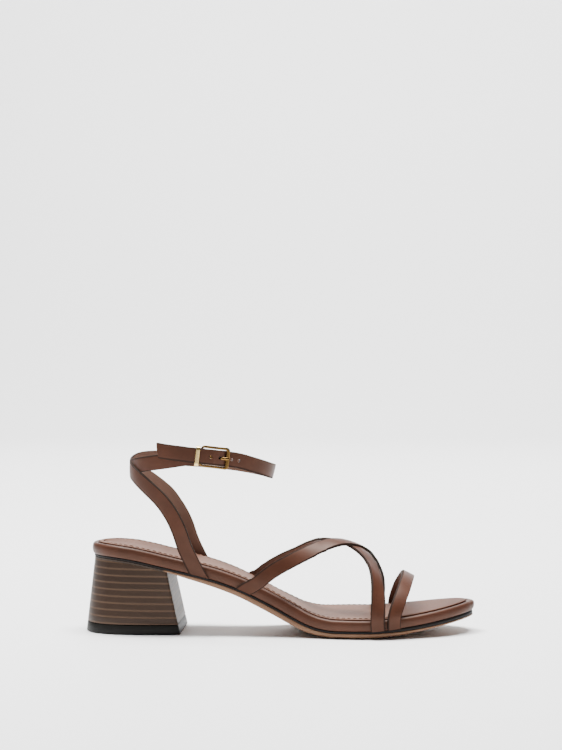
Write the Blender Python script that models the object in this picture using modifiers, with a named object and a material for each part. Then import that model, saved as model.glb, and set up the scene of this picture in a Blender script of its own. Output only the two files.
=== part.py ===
"""Strappy sandal with a stacked block heel: one right shoe, about EU 37.5.

The shoe frame has its origin under the heel's back, X towards the toe, Y towards
the inner side of the foot and Z up from the floor. Every layer of the sole is laid
on one feather surface, the surface where the footbed meets the sole. The toe and
instep straps lie on a last worked out from the length, ball width and instep
height, and the ankle straps lie on an oval form round the leg.
"""
from math import acos, cos, pi, radians, sin
from typing import NamedTuple

import bmesh
import bpy
import numpy as np
from mathutils import Matrix, Vector

# Driving dimensions of the sole, in metres
SOLE_LENGTH = 0.2345
BALL_WIDTH = 0.0750
WAIST_WIDTH = 0.0432
SEAT_WIDTH = 0.0500
SEAT_HEIGHT = 0.0476
TOE_SPRING = 0.0088
WAIST_CANT = 0.0030
RIM_HEIGHT = 0.0068
RIM_BULGE = 0.0008
OUTSOLE_THICKNESS = 0.0031
OUTSOLE_EDGE_LIFT = 0.0014
MIDSOLE_THICKNESS = 0.0014
SOCK_THICKNESS = 0.0011
SOCK_INSET = 0.0032
SEAT_CUP = 0.0012
FIT = 0.0002

# Driving dimensions of the heel
HEEL_TOP_LENGTH = 0.0476
HEEL_TOP_INSET = 0.0006
HEEL_BACK_FLARE = 0.0045
HEEL_FRONT_FLARE = 0.0083
HEEL_BASE_WIDTH = 0.0532
HEEL_CORNER = 0.0010
LIFT_HEIGHT = 0.0060

# Driving dimensions of the straps
INSTEP_HEIGHT = 0.0420
SECTION_POWER = 1.85
STRAP_THICKNESS = 0.0018
STRAP_JOIN = 0.0004
TOE_STRAP_WIDTH = 0.0080
INSTEP_STRAP_WIDTH = 0.0086
INNER_BACK = 0.0025
ANKLE_STRAP_WIDTH = 0.0093
ANKLE_BACK = 0.0254
ANKLE_LENGTH = 0.0864
ANKLE_WIDTH = 0.0560
ANKLE_HEIGHT = 0.1050
ANKLE_FRONT_LEAN = 0.25
TAIL_SLANT = 0.0045

# Driving dimensions of the buckle, keeper and holes
BAR_THICKNESS = 0.0014
OUTER_BAR_WIDTH = 0.0022
SIDE_BAR_WIDTH = 0.0016
FRAME_LENGTH = 0.0178
FRAME_SIDE_GAP = 0.0004
FRAME_CORNER = 0.0016
SLEEVE_WALL = 0.0005
REAR_BAR_ANGLE = 270.9
PRONG_THICKNESS = 0.0014
PRONG_SLOT = 0.0024
KEEPER_WIDTH = 0.0024
KEEPER_WALL = 0.0007
KEEPER_DROP = 0.0004
HOLE_DIAMETER = 0.0020
HOLE_PITCH = 0.0045
PRONG_HOLE_LENGTH = 0.0062

# The prong's hole as a share of the way from the buckle's rear bar to its front bar,
# and the keeper's inner height in strap thicknesses with their fits
PRONG_HOLE = 0.635
KEEPER_ROOM = 3.65

# The slanted cut of the tail as a share of the long strap for each metre of slant
SHARE_PER_SLANT = 3.03

# Small steps in each form's two parameters from which its directions are taken
LAST_NUDGES = (0.0005, 0.012)
LEG_NUDGES = (0.004, 0.0002)

# How finely the pieces are faceted
STRIPS = 46
MIDDLE_CROWDING = 0.22
HEEL_STRIPS = 18
SECTION_POINTS = 120
STRAP_COLUMNS = 3
CAP_COLUMNS = np.linspace(0, 1, 5)


class HeightRow(NamedTuple):
    """Feather height: rise is a share of the seat's rise, spring of the toe spring."""
    station: float
    rise: float
    spring: float
    cant: float


HEIGHT_ROWS = (
    HeightRow(0.00, 1.000, 0.00, 0.0),
    HeightRow(0.04, 0.995, 0.00, 0.0),
    HeightRow(0.09, 0.970, 0.00, 0.0),
    HeightRow(0.14, 0.920, 0.00, 0.0),
    HeightRow(0.19, 0.856, 0.00, 0.0),
    HeightRow(0.24, 0.793, 0.00, 0.0),
    HeightRow(0.29, 0.726, 0.00, 0.0),
    HeightRow(0.34, 0.646, 0.00, 0.1),
    HeightRow(0.39, 0.546, 0.00, 0.4),
    HeightRow(0.44, 0.422, 0.00, 0.8),
    HeightRow(0.49, 0.288, 0.00, 1.0),
    HeightRow(0.53, 0.175, 0.00, 1.0),
    HeightRow(0.57, 0.074, 0.00, 0.6),
    HeightRow(0.60, 0.026, 0.00, 0.3),
    HeightRow(0.64, 0.000, 0.00, 0.0),
    HeightRow(0.73, 0.000, 0.00, 0.0),
    HeightRow(0.78, 0.000, 0.10, 0.0),
    HeightRow(0.83, 0.000, 0.26, 0.0),
    HeightRow(0.88, 0.000, 0.45, 0.0),
    HeightRow(0.93, 0.000, 0.67, 0.0),
    HeightRow(0.97, 0.000, 0.86, 0.0),
    HeightRow(1.00, 0.000, 1.00, 0.0),
)


class PlanRow(NamedTuple):
    """Outline: half is a share of half the width named, skew a share of half the ball."""
    station: float
    width: float
    half: float
    skew: float


PLAN_ROWS = (
    PlanRow(0.00, SEAT_WIDTH, 0.000, 0.000),
    PlanRow(0.02, SEAT_WIDTH, 0.568, 0.000),
    PlanRow(0.05, SEAT_WIDTH, 0.824, 0.000),
    PlanRow(0.10, SEAT_WIDTH, 0.984, 0.000),
    PlanRow(0.15, SEAT_WIDTH, 1.000, -0.005),
    PlanRow(0.20, SEAT_WIDTH, 0.984, -0.018),
    PlanRow(0.25, WAIST_WIDTH, 1.097, -0.034),
    PlanRow(0.30, WAIST_WIDTH, 1.042, -0.050),
    PlanRow(0.35, WAIST_WIDTH, 1.005, -0.064),
    PlanRow(0.40, WAIST_WIDTH, 1.000, -0.075),
    PlanRow(0.45, WAIST_WIDTH, 1.069, -0.080),
    PlanRow(0.50, BALL_WIDTH, 0.693, -0.078),
    PlanRow(0.55, BALL_WIDTH, 0.795, -0.070),
    PlanRow(0.60, BALL_WIDTH, 0.891, -0.056),
    PlanRow(0.65, BALL_WIDTH, 0.965, -0.043),
    PlanRow(0.70, BALL_WIDTH, 1.000, -0.032),
    PlanRow(0.75, BALL_WIDTH, 0.995, -0.016),
    PlanRow(0.80, BALL_WIDTH, 0.946, 0.003),
    PlanRow(0.85, BALL_WIDTH, 0.860, 0.027),
    PlanRow(0.90, BALL_WIDTH, 0.730, 0.053),
    PlanRow(0.93, BALL_WIDTH, 0.625, 0.070),
    PlanRow(0.96, BALL_WIDTH, 0.480, 0.085),
    PlanRow(0.98, BALL_WIDTH, 0.340, 0.093),
    PlanRow(1.00, BALL_WIDTH, 0.000, 0.099),
)


class LayerRow(NamedTuple):
    """Layers: each column is a share of that layer's own named size."""
    station: float
    rim: float
    midsole: float
    outsole: float
    edge_lift: float
    cup: float


LAYER_ROWS = (
    LayerRow(0.00, 1.03, 0.90, 0.32, 0.0, 1.0),
    LayerRow(0.20, 1.02, 0.90, 0.32, 0.0, 0.9),
    LayerRow(0.27, 1.00, 1.00, 0.70, 0.2, 0.6),
    LayerRow(0.35, 1.00, 1.00, 0.95, 0.3, 0.4),
    LayerRow(0.50, 1.00, 1.00, 1.05, 0.4, 0.3),
    LayerRow(0.62, 0.94, 1.00, 1.00, 1.0, 0.3),
    LayerRow(0.74, 0.90, 1.00, 1.00, 1.0, 0.2),
    LayerRow(0.82, 0.88, 1.50, 0.66, 0.6, 0.1),
    LayerRow(0.94, 0.86, 1.70, 0.40, 0.4, 0.0),
    LayerRow(1.00, 0.83, 1.70, 0.34, 0.3, 0.0),
)


class EdgeRow(NamedTuple):
    """Edge profile: inset in metres from the outline, level from 0 below to 1 above."""
    inset: float
    level: float


FOOTBED_EDGE = (
    EdgeRow(0.2 * RIM_BULGE, 0.00),
    EdgeRow(-0.7 * RIM_BULGE, 0.22),
    EdgeRow(-RIM_BULGE, 0.52),
    EdgeRow(-0.7 * RIM_BULGE, 0.80),
    EdgeRow(0.5 * RIM_BULGE, 0.97),
    EdgeRow(1.6 * RIM_BULGE, 1.00),
    EdgeRow(0.8 * SOCK_INSET, 0.91),
)
MIDSOLE_EDGE = (
    EdgeRow(0.0008, 0.0),
    EdgeRow(0.0004, 0.5),
    EdgeRow(0.0006, 1.0),
)
OUTSOLE_EDGE = (
    EdgeRow(0.0070, 0.0),
    EdgeRow(0.0034, 0.0),
    EdgeRow(0.0010, 0.0),
    EdgeRow(0.0006, 1.0),
)
SOCK_EDGE = (
    EdgeRow(SOCK_INSET + 0.0002, 0.0),
    EdgeRow(SOCK_INSET, 0.4),
    EdgeRow(SOCK_INSET + 0.0005, 0.85),
    EdgeRow(SOCK_INSET + 0.0016, 1.0),
)


class CrestRow(NamedTuple):
    """Crest of the last above the footbed's rim, as a share of the instep height."""
    station: float
    crest: float


CREST_ROWS = (
    CrestRow(0.00, 2.00),
    CrestRow(0.30, 1.40),
    CrestRow(0.39, 1.26),
    CrestRow(0.44, 1.19),
    CrestRow(0.49, 1.13),
    CrestRow(0.54, 1.10),
    CrestRow(0.59, 1.08),
    CrestRow(0.64, 1.035),
    CrestRow(0.70, 0.93),
    CrestRow(0.74, 0.805),
    CrestRow(0.775, 0.69),
    CrestRow(0.81, 0.575),
    CrestRow(0.84, 0.47),
    CrestRow(0.90, 0.28),
    CrestRow(1.00, 0.08),
)


class StrapRow(NamedTuple):
    """Strap over the last: turn runs from the outer feather line (0) to the inner (1)."""
    turn: float
    station: float
    lift: float
    lean: float = 0.0


TOE_STRAP_ROWS = (
    StrapRow(-0.05, 0.791, 0.0),
    StrapRow(0.00, 0.791, 0.0),
    StrapRow(0.08, 0.796, 0.0),
    StrapRow(0.16, 0.808, 0.0),
    StrapRow(0.25, 0.819, 0.0),
    StrapRow(0.38, 0.828, 0.0),
    StrapRow(0.50, 0.831, 0.0),
    StrapRow(0.62, 0.829, 0.0),
    StrapRow(0.75, 0.820, 0.0),
    StrapRow(0.84, 0.809, 0.0),
    StrapRow(0.92, 0.799, 0.0),
    StrapRow(1.00, 0.793, 0.0),
    StrapRow(1.05, 0.792, 0.0),
)

# A lift is counted in strap thicknesses plus the fit. JOINED is the lift of a strap
# that is joined over another one, OVER_BAR that of a strap over the buckle's sleeve.
# A lean is the slope across the strap, by which its heel-side edge stands off the last
JOINED = (STRAP_THICKNESS - STRAP_JOIN) / (STRAP_THICKNESS + FIT)
SLEEVE_RADIUS = BAR_THICKNESS / 2 * 2**0.5 + FIT + SLEEVE_WALL
OVER_BAR = (2 * SLEEVE_RADIUS + 1.5 * FIT) / (STRAP_THICKNESS + FIT)

# The strap that starts at the outer waist and ends at the inner ball; the other
# instep strap is its mirror image, set back on the inner side, and passes under it
INSTEP_STRAP_ROWS = (
    StrapRow(-0.07, 0.372, 0.0),
    StrapRow(0.00, 0.401, 0.0),
    StrapRow(0.08, 0.434, 0.0),
    StrapRow(0.16, 0.469, 0.0),
    StrapRow(0.24, 0.509, 0.0),
    StrapRow(0.32, 0.553, 0.0),
    StrapRow(0.395, 0.599, 0.1 * JOINED),
    StrapRow(0.45, 0.639, 0.8 * JOINED),
    StrapRow(0.50, 0.678, JOINED),
    StrapRow(0.55, 0.709, 0.8 * JOINED),
    StrapRow(0.61, 0.729, 0.2 * JOINED, 0.12),
    StrapRow(0.68, 0.741, 0.0, 0.42),
    StrapRow(0.76, 0.748, 0.0, 0.48),
    StrapRow(0.85, 0.751, 0.0, 0.28),
    StrapRow(0.93, 0.751, 0.0, 0.06),
    StrapRow(1.00, 0.751, 0.0),
    StrapRow(1.07, 0.751, 0.0),
)


class AnkleRow(NamedTuple):
    """Ankle strap: angle in degrees, 0 front, 90 inner, 180 back, 270 outer."""
    angle: float
    height: float
    lift: float
    lean: float = 0.0


# The long strap: outer upright, round the back, inner side, front, then over the
# buckle's bar to its free tail on the outer side. Height is a share of ankle height.
LONG_STRAP_ROWS = (
    AnkleRow(277.5, 0.220, 0.0),
    AnkleRow(273.0, 0.290, 0.0),
    AnkleRow(268.1, 0.345, 0.0),
    AnkleRow(262.5, 0.425, 0.0),
    AnkleRow(257.0, 0.510, 0.0),
    AnkleRow(252.0, 0.612, 0.0),
    AnkleRow(244.5, 0.710, 0.0),
    AnkleRow(232.0, 0.806, 0.3),
    AnkleRow(208.5, 0.903, JOINED),
    AnkleRow(180.0, 0.962, JOINED),
    AnkleRow(155.0, 0.996, JOINED),
    AnkleRow(130.0, 1.000, 0.2),
    AnkleRow(105.0, 0.990, 0.0),
    AnkleRow(75.0, 0.972, 0.0),
    AnkleRow(45.0, 0.950, 0.0),
    AnkleRow(20.0, 0.937, 0.0),
    AnkleRow(0.0, 0.939, 0.0),
    AnkleRow(-20.0, 0.953, 0.0),
    AnkleRow(-42.0, 0.984, 0.0),
    AnkleRow(-57.5, 1.011, 0.0),
    AnkleRow(-69.3, 1.025, 0.0),
    AnkleRow(-73.3, 1.029, 0.42 * OVER_BAR),
    AnkleRow(-77.3, 1.033, 0.84 * OVER_BAR),
    AnkleRow(-81.8, 1.037, OVER_BAR),
    AnkleRow(-89.1, 1.042, OVER_BAR),
    AnkleRow(-94.3, 1.046, 0.90 * OVER_BAR),
    AnkleRow(-99.8, 1.050, 0.66 * OVER_BAR),
    AnkleRow(-105.8, 1.055, 1.05),
    AnkleRow(-115.5, 1.062, 1.0),
    AnkleRow(-127.0, 1.072, 1.0),
)

# The short strap: inner upright, round the back under the long one, outer side to
# the buckle's inner bar
SHORT_STRAP_ROWS = (
    AnkleRow(82.5, 0.220, 0.0),
    AnkleRow(87.6, 0.290, 0.0),
    AnkleRow(92.6, 0.345, 0.0),
    AnkleRow(98.2, 0.425, 0.0),
    AnkleRow(104.0, 0.510, 0.0),
    AnkleRow(109.4, 0.612, 0.0),
    AnkleRow(117.2, 0.710, 0.0),
    AnkleRow(129.0, 0.806, 0.0),
    AnkleRow(151.5, 0.897, 0.0),
    AnkleRow(180.0, 0.950, 0.0),
    AnkleRow(205.0, 0.976, 0.0),
    AnkleRow(238.0, 1.006, 0.0),
    AnkleRow(254.5, 1.0240, 0.0),
    AnkleRow(REAR_BAR_ANGLE, 1.0425, 0.0),
)


class PaintRow(NamedTuple):
    """Finish of one piece: display colour as sRGB shares, roughness and metallic."""
    colour: tuple
    roughness: float
    metallic: float


BROWN = PaintRow((0.42, 0.28, 0.23), 0.45, 0.0)
TAUPE = PaintRow((0.67, 0.57, 0.52), 0.60, 0.0)
BLACK = PaintRow((0.07, 0.06, 0.05), 0.50, 0.0)
BEIGE = PaintRow((0.63, 0.53, 0.46), 0.55, 0.0)
STACK = PaintRow((0.33, 0.26, 0.22), 0.50, 0.0)
RUBBER = PaintRow((0.17, 0.17, 0.16), 0.60, 0.0)
GOLD = PaintRow((0.75, 0.66, 0.45), 0.25, 1.0)


def monotone(knots, values, at):
    """Cubic through the knots that never overshoots, so that level rows stay level."""
    knots = np.asarray(knots, float)
    values = np.asarray(values, float)
    at = np.clip(np.asarray(at, float), knots[0], knots[-1])
    step = np.diff(knots)
    rate = np.diff(values) / step
    slope = np.zeros_like(values)
    same = rate[:-1] * rate[1:] > 0
    near = 2 * step[1:] + step[:-1]
    far = step[1:] + 2 * step[:-1]
    safe = np.where(same, rate[:-1] * rate[1:], 1.0)
    mean = (near + far) * safe / np.where(same, near * rate[1:] + far * rate[:-1], 1.0)
    slope[1:-1] = np.where(same, mean, 0.0)
    slope[0] = ((2 * step[0] + step[1]) * rate[0] - step[0] * rate[1]) / (step[0] + step[1])
    slope[-1] = ((2 * step[-1] + step[-2]) * rate[-1] - step[-1] * rate[-2]) / (step[-1] + step[-2])
    slope[0] = 0.0 if rate[0] == 0 else slope[0]
    slope[-1] = 0.0 if rate[-1] == 0 else slope[-1]
    cell = np.clip(np.searchsorted(knots, at, side="right") - 1, 0, len(step) - 1)
    share = (at - knots[cell]) / step[cell]
    rest = 1 - share
    return (values[cell] * (1 + 2 * share) * rest**2
            + values[cell + 1] * (3 - 2 * share) * share**2
            + step[cell] * share * rest * (slope[cell] * rest - slope[cell + 1] * share))


def column(rows, name):
    """One named column of a table, as an array."""
    return np.array([getattr(row, name) for row in rows])


def station_of(x):
    """Share of the sole's length at x, kept on the sole."""
    return np.clip(np.asarray(x, float) / SOLE_LENGTH, 0.0, 1.0)


def half_width(x):
    """Half the width of the feather outline at x."""
    turn_knots = np.arccos(1 - 2 * column(PLAN_ROWS, "station"))
    halves = column(PLAN_ROWS, "half") * column(PLAN_ROWS, "width") / 2
    return monotone(turn_knots, halves, np.arccos(1 - 2 * station_of(x)))


def centre_line(x):
    """How far the outline's middle lies towards the inner side at x."""
    skews = column(PLAN_ROWS, "skew") * BALL_WIDTH / 2
    return monotone(column(PLAN_ROWS, "station"), skews, station_of(x))


def layer(name, size, x):
    """A layer's size at x: its named size times its column of the layer table."""
    return size * monotone(column(LAYER_ROWS, "station"), column(LAYER_ROWS, name), station_of(x))


def feather_height(x, y):
    """Height of the feather surface over the floor."""
    tread = OUTSOLE_THICKNESS + MIDSOLE_THICKNESS + 2 * FIT
    stations = column(HEIGHT_ROWS, "station")
    at = station_of(x)
    rise = (SEAT_HEIGHT - tread) * monotone(stations, column(HEIGHT_ROWS, "rise"), at)
    spring = TOE_SPRING * monotone(stations, column(HEIGHT_ROWS, "spring"), at)
    cant = WAIST_CANT * monotone(stations, column(HEIGHT_ROWS, "cant"), at)
    across = (y - centre_line(x)) / np.maximum(half_width(x), WAIST_WIDTH / 4)
    return tread + rise + spring - cant * (1 + np.clip(across, -1.3, 1.3)) / 2


def over_feather(x, y, height):
    """Point that lies height above the feather surface, measured square to it."""
    reach = SOLE_LENGTH / 400
    slope = (feather_height(x + reach, y) - feather_height(x - reach, y)) / (2 * reach)
    level = np.sqrt(1 + slope**2)
    return np.stack((x - height * slope / level, y + 0 * x, feather_height(x, y) + height / level), axis=-1)


def outline(inset):
    """Outer and inner halves of the outline from heel to toe, moved in by inset."""
    turn = np.linspace(0, pi, STRIPS + 1)
    turn = turn + MIDDLE_CROWDING * np.sin(2 * turn) / 2
    x = SOLE_LENGTH * (1 - np.cos(turn)) / 2
    outer = np.stack((x, centre_line(x) - half_width(x)), axis=-1)
    inner = np.stack((x, centre_line(x) + half_width(x)), axis=-1)
    loop = np.concatenate((outer, inner[-2:0:-1]))
    along = np.roll(loop, -1, axis=0) - np.roll(loop, 1, axis=0)
    along /= np.linalg.norm(along, axis=1, keepdims=True)
    moved = loop + inset * np.stack((-along[:, 1], along[:, 0]), axis=-1)
    inner_half = np.concatenate((moved[:1], moved[:STRIPS - 1:-1]))
    return moved[:STRIPS + 1], inner_half


def loft(name, rings, caps):
    """Closed mesh of stacked rings, each an outer and an inner half, with capped ends.

    A cap is a grid that runs across from the outer half to the inner half. Its two
    borders lie on the ring, where they are merged with it.
    """
    mesh = bmesh.new()
    loops = [[mesh.verts.new(point) for point in np.concatenate((outer, inner[::-1]))]
             for outer, inner in rings]
    for below, above in zip(loops, loops[1:]):
        for index, _ in enumerate(below):
            after = (index + 1) % len(below)
            mesh.faces.new((below[index], below[after], above[after], above[index]))
    for grid in caps:
        verts = [[mesh.verts.new(point) for point in row] for row in grid]
        for row, next_row in zip(verts, verts[1:]):
            for index in range(len(row) - 1):
                mesh.faces.new((row[index], row[index + 1], next_row[index + 1], next_row[index]))
    return finished(name, mesh)


def finished(name, mesh):
    """Merge coincident points, point the faces outwards and make the object."""
    bmesh.ops.remove_doubles(mesh, verts=mesh.verts, dist=1e-6)
    bmesh.ops.dissolve_degenerate(mesh, dist=1e-7, edges=mesh.edges)
    bmesh.ops.recalc_face_normals(mesh, faces=mesh.faces)
    data = bpy.data.meshes.new(name)
    mesh.to_mesh(data)
    mesh.free()
    data.shade_smooth()
    data.set_sharp_from_angle(angle=radians(35))
    return bpy.data.objects.new(name, data)


def spread(outer, inner):
    """Grid of points from the outer half of a ring across to its inner half."""
    return np.stack([outer + share * (inner - outer) for share in CAP_COLUMNS], axis=1)


def sole_layer(name, edge, bottom, top, cup=0.0):
    """A layer of the sole between two heights over the feather surface.

    bottom and top are functions of x. The top cap sinks by the cup along its middle.
    """
    def laid(points, level):
        x, y = points[..., 0], points[..., 1]
        low, high = bottom(x), top(x)
        return over_feather(x, y, low + level * (high - low))

    rings = []
    for row in edge:
        outer, inner = outline(row.inset)
        rings.append((laid(outer, row.level), laid(inner, row.level)))
    caps = []
    for row in (edge[0], edge[-1]):
        outer, inner = outline(row.inset)
        grid = spread(outer, inner)
        across = 1 - (2 * CAP_COLUMNS - 1)**2
        depth = layer("cup", cup, grid[..., 0]) * across if row is edge[-1] else 0.0
        x, y = grid[..., 0], grid[..., 1]
        low, high = bottom(x), top(x)
        caps.append(over_feather(x, y, low + row.level * (high - low) - depth))
    return loft(name, rings, caps)


def rim_top(x):
    """Height of the footbed's rim over the feather surface."""
    return layer("rim", RIM_HEIGHT, x)


def midsole_bottom(x):
    """Depth of the midsole's underside below the feather surface."""
    return -FIT - layer("midsole", MIDSOLE_THICKNESS, x)


def outsole_bottom(x):
    """Depth of the outsole's underside below the feather surface."""
    return midsole_bottom(x) - FIT - layer("outsole", OUTSOLE_THICKNESS, x)


def make_footbed():
    """Footbed with a rounded rim that stands a little proud of the sole."""
    return sole_layer("footbed", FOOTBED_EDGE, lambda x: 0 * x, rim_top, SEAT_CUP)


def make_sock():
    """Sock lining, a thin sheet that lies in the footbed's rim and stands proud of it."""
    bed = FOOTBED_EDGE[-1].level

    def bottom(x):
        return bed * rim_top(x) + FIT

    return sole_layer("sock_lining", SOCK_EDGE, bottom, lambda x: bottom(x) + SOCK_THICKNESS, SEAT_CUP)


def make_midsole():
    """Thin black layer between footbed and outsole."""
    return sole_layer("midsole", MIDSOLE_EDGE, midsole_bottom, lambda x: 0 * x - FIT)


def make_outsole():
    """Outsole, thin over the heel, with its lower edge rounded off the floor."""
    rings = []
    edge_shares = (0.0, 0.25, 1.0, None)
    for row, lift_share in zip(OUTSOLE_EDGE, edge_shares):
        halves = []
        for half in outline(row.inset):
            x, y = half[:, 0], half[:, 1]
            if lift_share is None:
                height = midsole_bottom(x) - FIT
            else:
                height = outsole_bottom(x) + lift_share * layer("edge_lift", OUTSOLE_EDGE_LIFT, x)
            halves.append(over_feather(x, y, height))
        rings.append(tuple(halves))
    caps = [spread(*rings[0]), spread(*rings[-1])]
    return loft("outsole", rings, caps)


class HeelRow(NamedTuple):
    """Heel base: share of its length from the back, half as a share of half its width."""
    share: float
    half: float


HEEL_ROWS = (
    HeelRow(0.00, 0.000),
    HeelRow(0.04, 0.470),
    HeelRow(0.12, 0.730),
    HeelRow(0.25, 0.905),
    HeelRow(0.42, 0.985),
    HeelRow(0.65, 1.000),
    HeelRow(0.85, 0.970),
    HeelRow(1.00, 0.930),
)


def heel_walls():
    """Base and top outlines of the heel, each as an outer and an inner half."""
    turn = np.linspace(0, pi / 2, HEEL_STRIPS + 1)
    share = 1 - np.cos(turn)
    before_corner = 1 - HEEL_CORNER / HEEL_TOP_LENGTH
    share[-2] = before_corner
    share[-3] = (share[-4] + before_corner) / 2
    corner = np.zeros_like(share)
    corner[-1] = HEEL_CORNER
    base_x = -HEEL_BACK_FLARE + share * (HEEL_BACK_FLARE + HEEL_TOP_LENGTH + HEEL_FRONT_FLARE)
    knots = np.sqrt(column(HEEL_ROWS, "share"))
    base_half = HEEL_BASE_WIDTH / 2 * monotone(knots, column(HEEL_ROWS, "half"), np.sqrt(share)) - corner
    top_x = HEEL_TOP_INSET + share * HEEL_TOP_LENGTH
    seat_reach = np.minimum(share, 1) * (HEEL_TOP_LENGTH + HEEL_TOP_INSET)
    top_half = np.maximum(half_width(seat_reach) - HEEL_TOP_INSET, 0) - corner
    top_half[0] = 0.0
    base = [np.stack((base_x, side * base_half), axis=-1) for side in (-1, 1)]
    top = [np.stack((top_x, centre_line(top_x) + side * top_half), axis=-1) for side in (-1, 1)]
    return base, top


def seat_underside(points):
    """Points of the outsole's underside over the heel, one fit below it."""
    x, y = points[..., 0], points[..., 1]
    return over_feather(x, y, outsole_bottom(x) - FIT)


def heel_ring(level):
    """Outer and inner half of the heel's wall at a level over the floor, or at its top."""
    base, top = heel_walls()
    halves = []
    for low, high in zip(base, top):
        foot = np.column_stack((low, np.zeros(len(low))))
        head = seat_underside(high)
        share = np.ones(len(low)) if level is None else level / head[:, 2]
        halves.append(foot + share[:, None] * (head - foot))
    return tuple(halves)


def heel_piece(name, low, high):
    """The heel between two levels; None stands for its top under the seat."""
    rings = [heel_ring(low), heel_ring(high)]
    caps = [np.stack((outer, inner), axis=1) for outer, inner in rings]
    return loft(name, rings, caps)


def last_section(x):
    """The last across station x, from the outer feather line over the crest to the inner."""
    wall = np.linspace(0, 1, 5)[:-1]
    step = SOLE_LENGTH / 400
    slope = (half_width(x + step) - half_width(x - step)) / (2 * step)
    reach = half_width(x) + (RIM_BULGE + FIT) * (1 + slope**2)**0.5
    heights = np.append(wall, 1.0) * rim_top(x)
    level = np.ones(len(heights))
    outer, inner = (over_feather(x * level, (centre_line(x) + side * reach) * level, heights)
                    for side in (-1, 1))
    share = np.linspace(0, 1, SECTION_POINTS)
    power = 2 / SECTION_POWER
    across = (1 - np.sign(np.cos(pi * share)) * np.abs(np.cos(pi * share))**power) / 2
    rise = np.sin(pi * share)**power
    stations = column(CREST_ROWS, "station")
    crest = INSTEP_HEIGHT * monotone(stations, column(CREST_ROWS, "crest"), station_of(x))
    arch = outer[-1] + across[:, None] * (inner[-1] - outer[-1])
    arch[:, 2] += crest * rise
    return np.concatenate((outer[:-1], arch, inner[-2::-1]))


def last_point(x, turn):
    """Point of the last: turn is the share of the section's length from the outer side."""
    section = last_section(x)
    run = np.concatenate(([0.0], np.cumsum(np.linalg.norm(np.diff(section, axis=0), axis=1))))
    at = turn * run[-1]
    inside = np.clip(at, 0, run[-1])
    point = np.array([np.interp(inside, run, section[:, axis]) for axis in range(3)])
    point[2] -= abs(at - inside)
    return point


def leg_point(angle, height):
    """Point of the ankle form: an oval that eases into the wall of the footbed's rim."""
    x = ANKLE_BACK + ANKLE_LENGTH / 2 * (1 + cos(angle))
    side = 1 if sin(angle) > 0 else -1
    oval = ANKLE_WIDTH / 2 * sin(angle)
    x += ANKLE_FRONT_LEAN * max(cos(angle), 0)**2 * (height - ANKLE_HEIGHT)
    rim = centre_line(x) + side * (half_width(x) + RIM_BULGE + FIT)
    rim_level = feather_height(x, rim) + RIM_HEIGHT
    ease = np.clip((height - rim_level) / (ANKLE_HEIGHT / 4), 0, 1)
    ease = ease * ease * (3 - 2 * ease) if abs(sin(angle)) > 0.5 else 1.0
    return np.array([x, float(rim + ease * (oval - rim)), height])


class Ribbon(NamedTuple):
    """A strap's middle surface: its grid of points, and its centre path to place pieces on."""
    grid: np.ndarray
    centres: np.ndarray
    alongs: np.ndarray
    sides: np.ndarray
    normals: np.ndarray


def ribbon(surface, nudges, path, width, count, trim_ends=(True, True), slant=0.0):
    """Lay a strap of one width on a surface.

    path gives the surface's two parameters and the lift for a share of the way, and
    nudges the small steps in both parameters from which its directions are taken.
    Each column of the strap is cut off where it meets the feather line at a
    trimmed end, so that a slanting strap ends flush with the rim's lower edge.
    """
    shares = np.linspace(0, 1, count)
    offsets = np.linspace(-width / 2, width / 2, STRAP_COLUMNS)
    columns = np.zeros((count, STRAP_COLUMNS, 3))
    clear = np.zeros((count, STRAP_COLUMNS))
    step_first, step_second = nudges
    frames = []
    for index, share in enumerate(shares):
        first, second, lift, lean = path(share)
        before, after = path(max(share - 0.002, 0)), path(min(share + 0.002, 1))
        point = surface(first, second)
        along = surface(*after[:2]) - surface(*before[:2])
        along /= np.linalg.norm(along)
        by_first = surface(first + step_first, second) - surface(first - step_first, second)
        by_first /= 2 * step_first
        by_second = surface(first, second + step_second) - surface(first, second - step_second)
        by_second /= 2 * step_second
        normal = np.cross(by_first, by_second)
        normal /= np.linalg.norm(normal)
        side = np.cross(normal, along)
        side /= np.linalg.norm(side)
        raised = STRAP_THICKNESS / 2 + lift * (STRAP_THICKNESS + FIT)
        basis = np.column_stack((by_first, by_second))
        shift = np.linalg.lstsq(basis, side, rcond=None)[0]
        for step, offset in enumerate(offsets):
            spot = surface(first + offset * shift[0], second + offset * shift[1])
            columns[index, step] = spot + (raised + offset * lean) * normal
            clear[index, step] = spot[2] - feather_height(spot[0], spot[1])
        frames.append((point + raised * normal, along, side, normal))
    grid = np.zeros_like(columns)
    for step, offset in enumerate(offsets):
        start, end = 0.0, 1.0
        if trim_ends[0]:
            first_clear = int(np.argmax(clear[:, step] > 0))
            start = crossing(shares, clear[:, step], first_clear)
        if trim_ends[1]:
            last_clear = count - int(np.argmax(clear[::-1, step] > 0))
            end = crossing(shares, clear[:, step], last_clear)
        end -= slant * (0.5 + offset / width)
        places = start + shares * (end - start)
        for axis in range(3):
            grid[:, step, axis] = np.interp(places, shares, columns[:, step, axis])
    centres, alongs, sides, normals = (np.array(part) for part in zip(*frames))
    return Ribbon(grid, centres, alongs, sides, normals)


def crossing(shares, clear, index):
    """Share at which the clearance changes sign between two samples."""
    low, high = clear[index - 1], clear[index]
    return shares[index - 1] + (shares[index] - shares[index - 1]) * low / (low - high)


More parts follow.
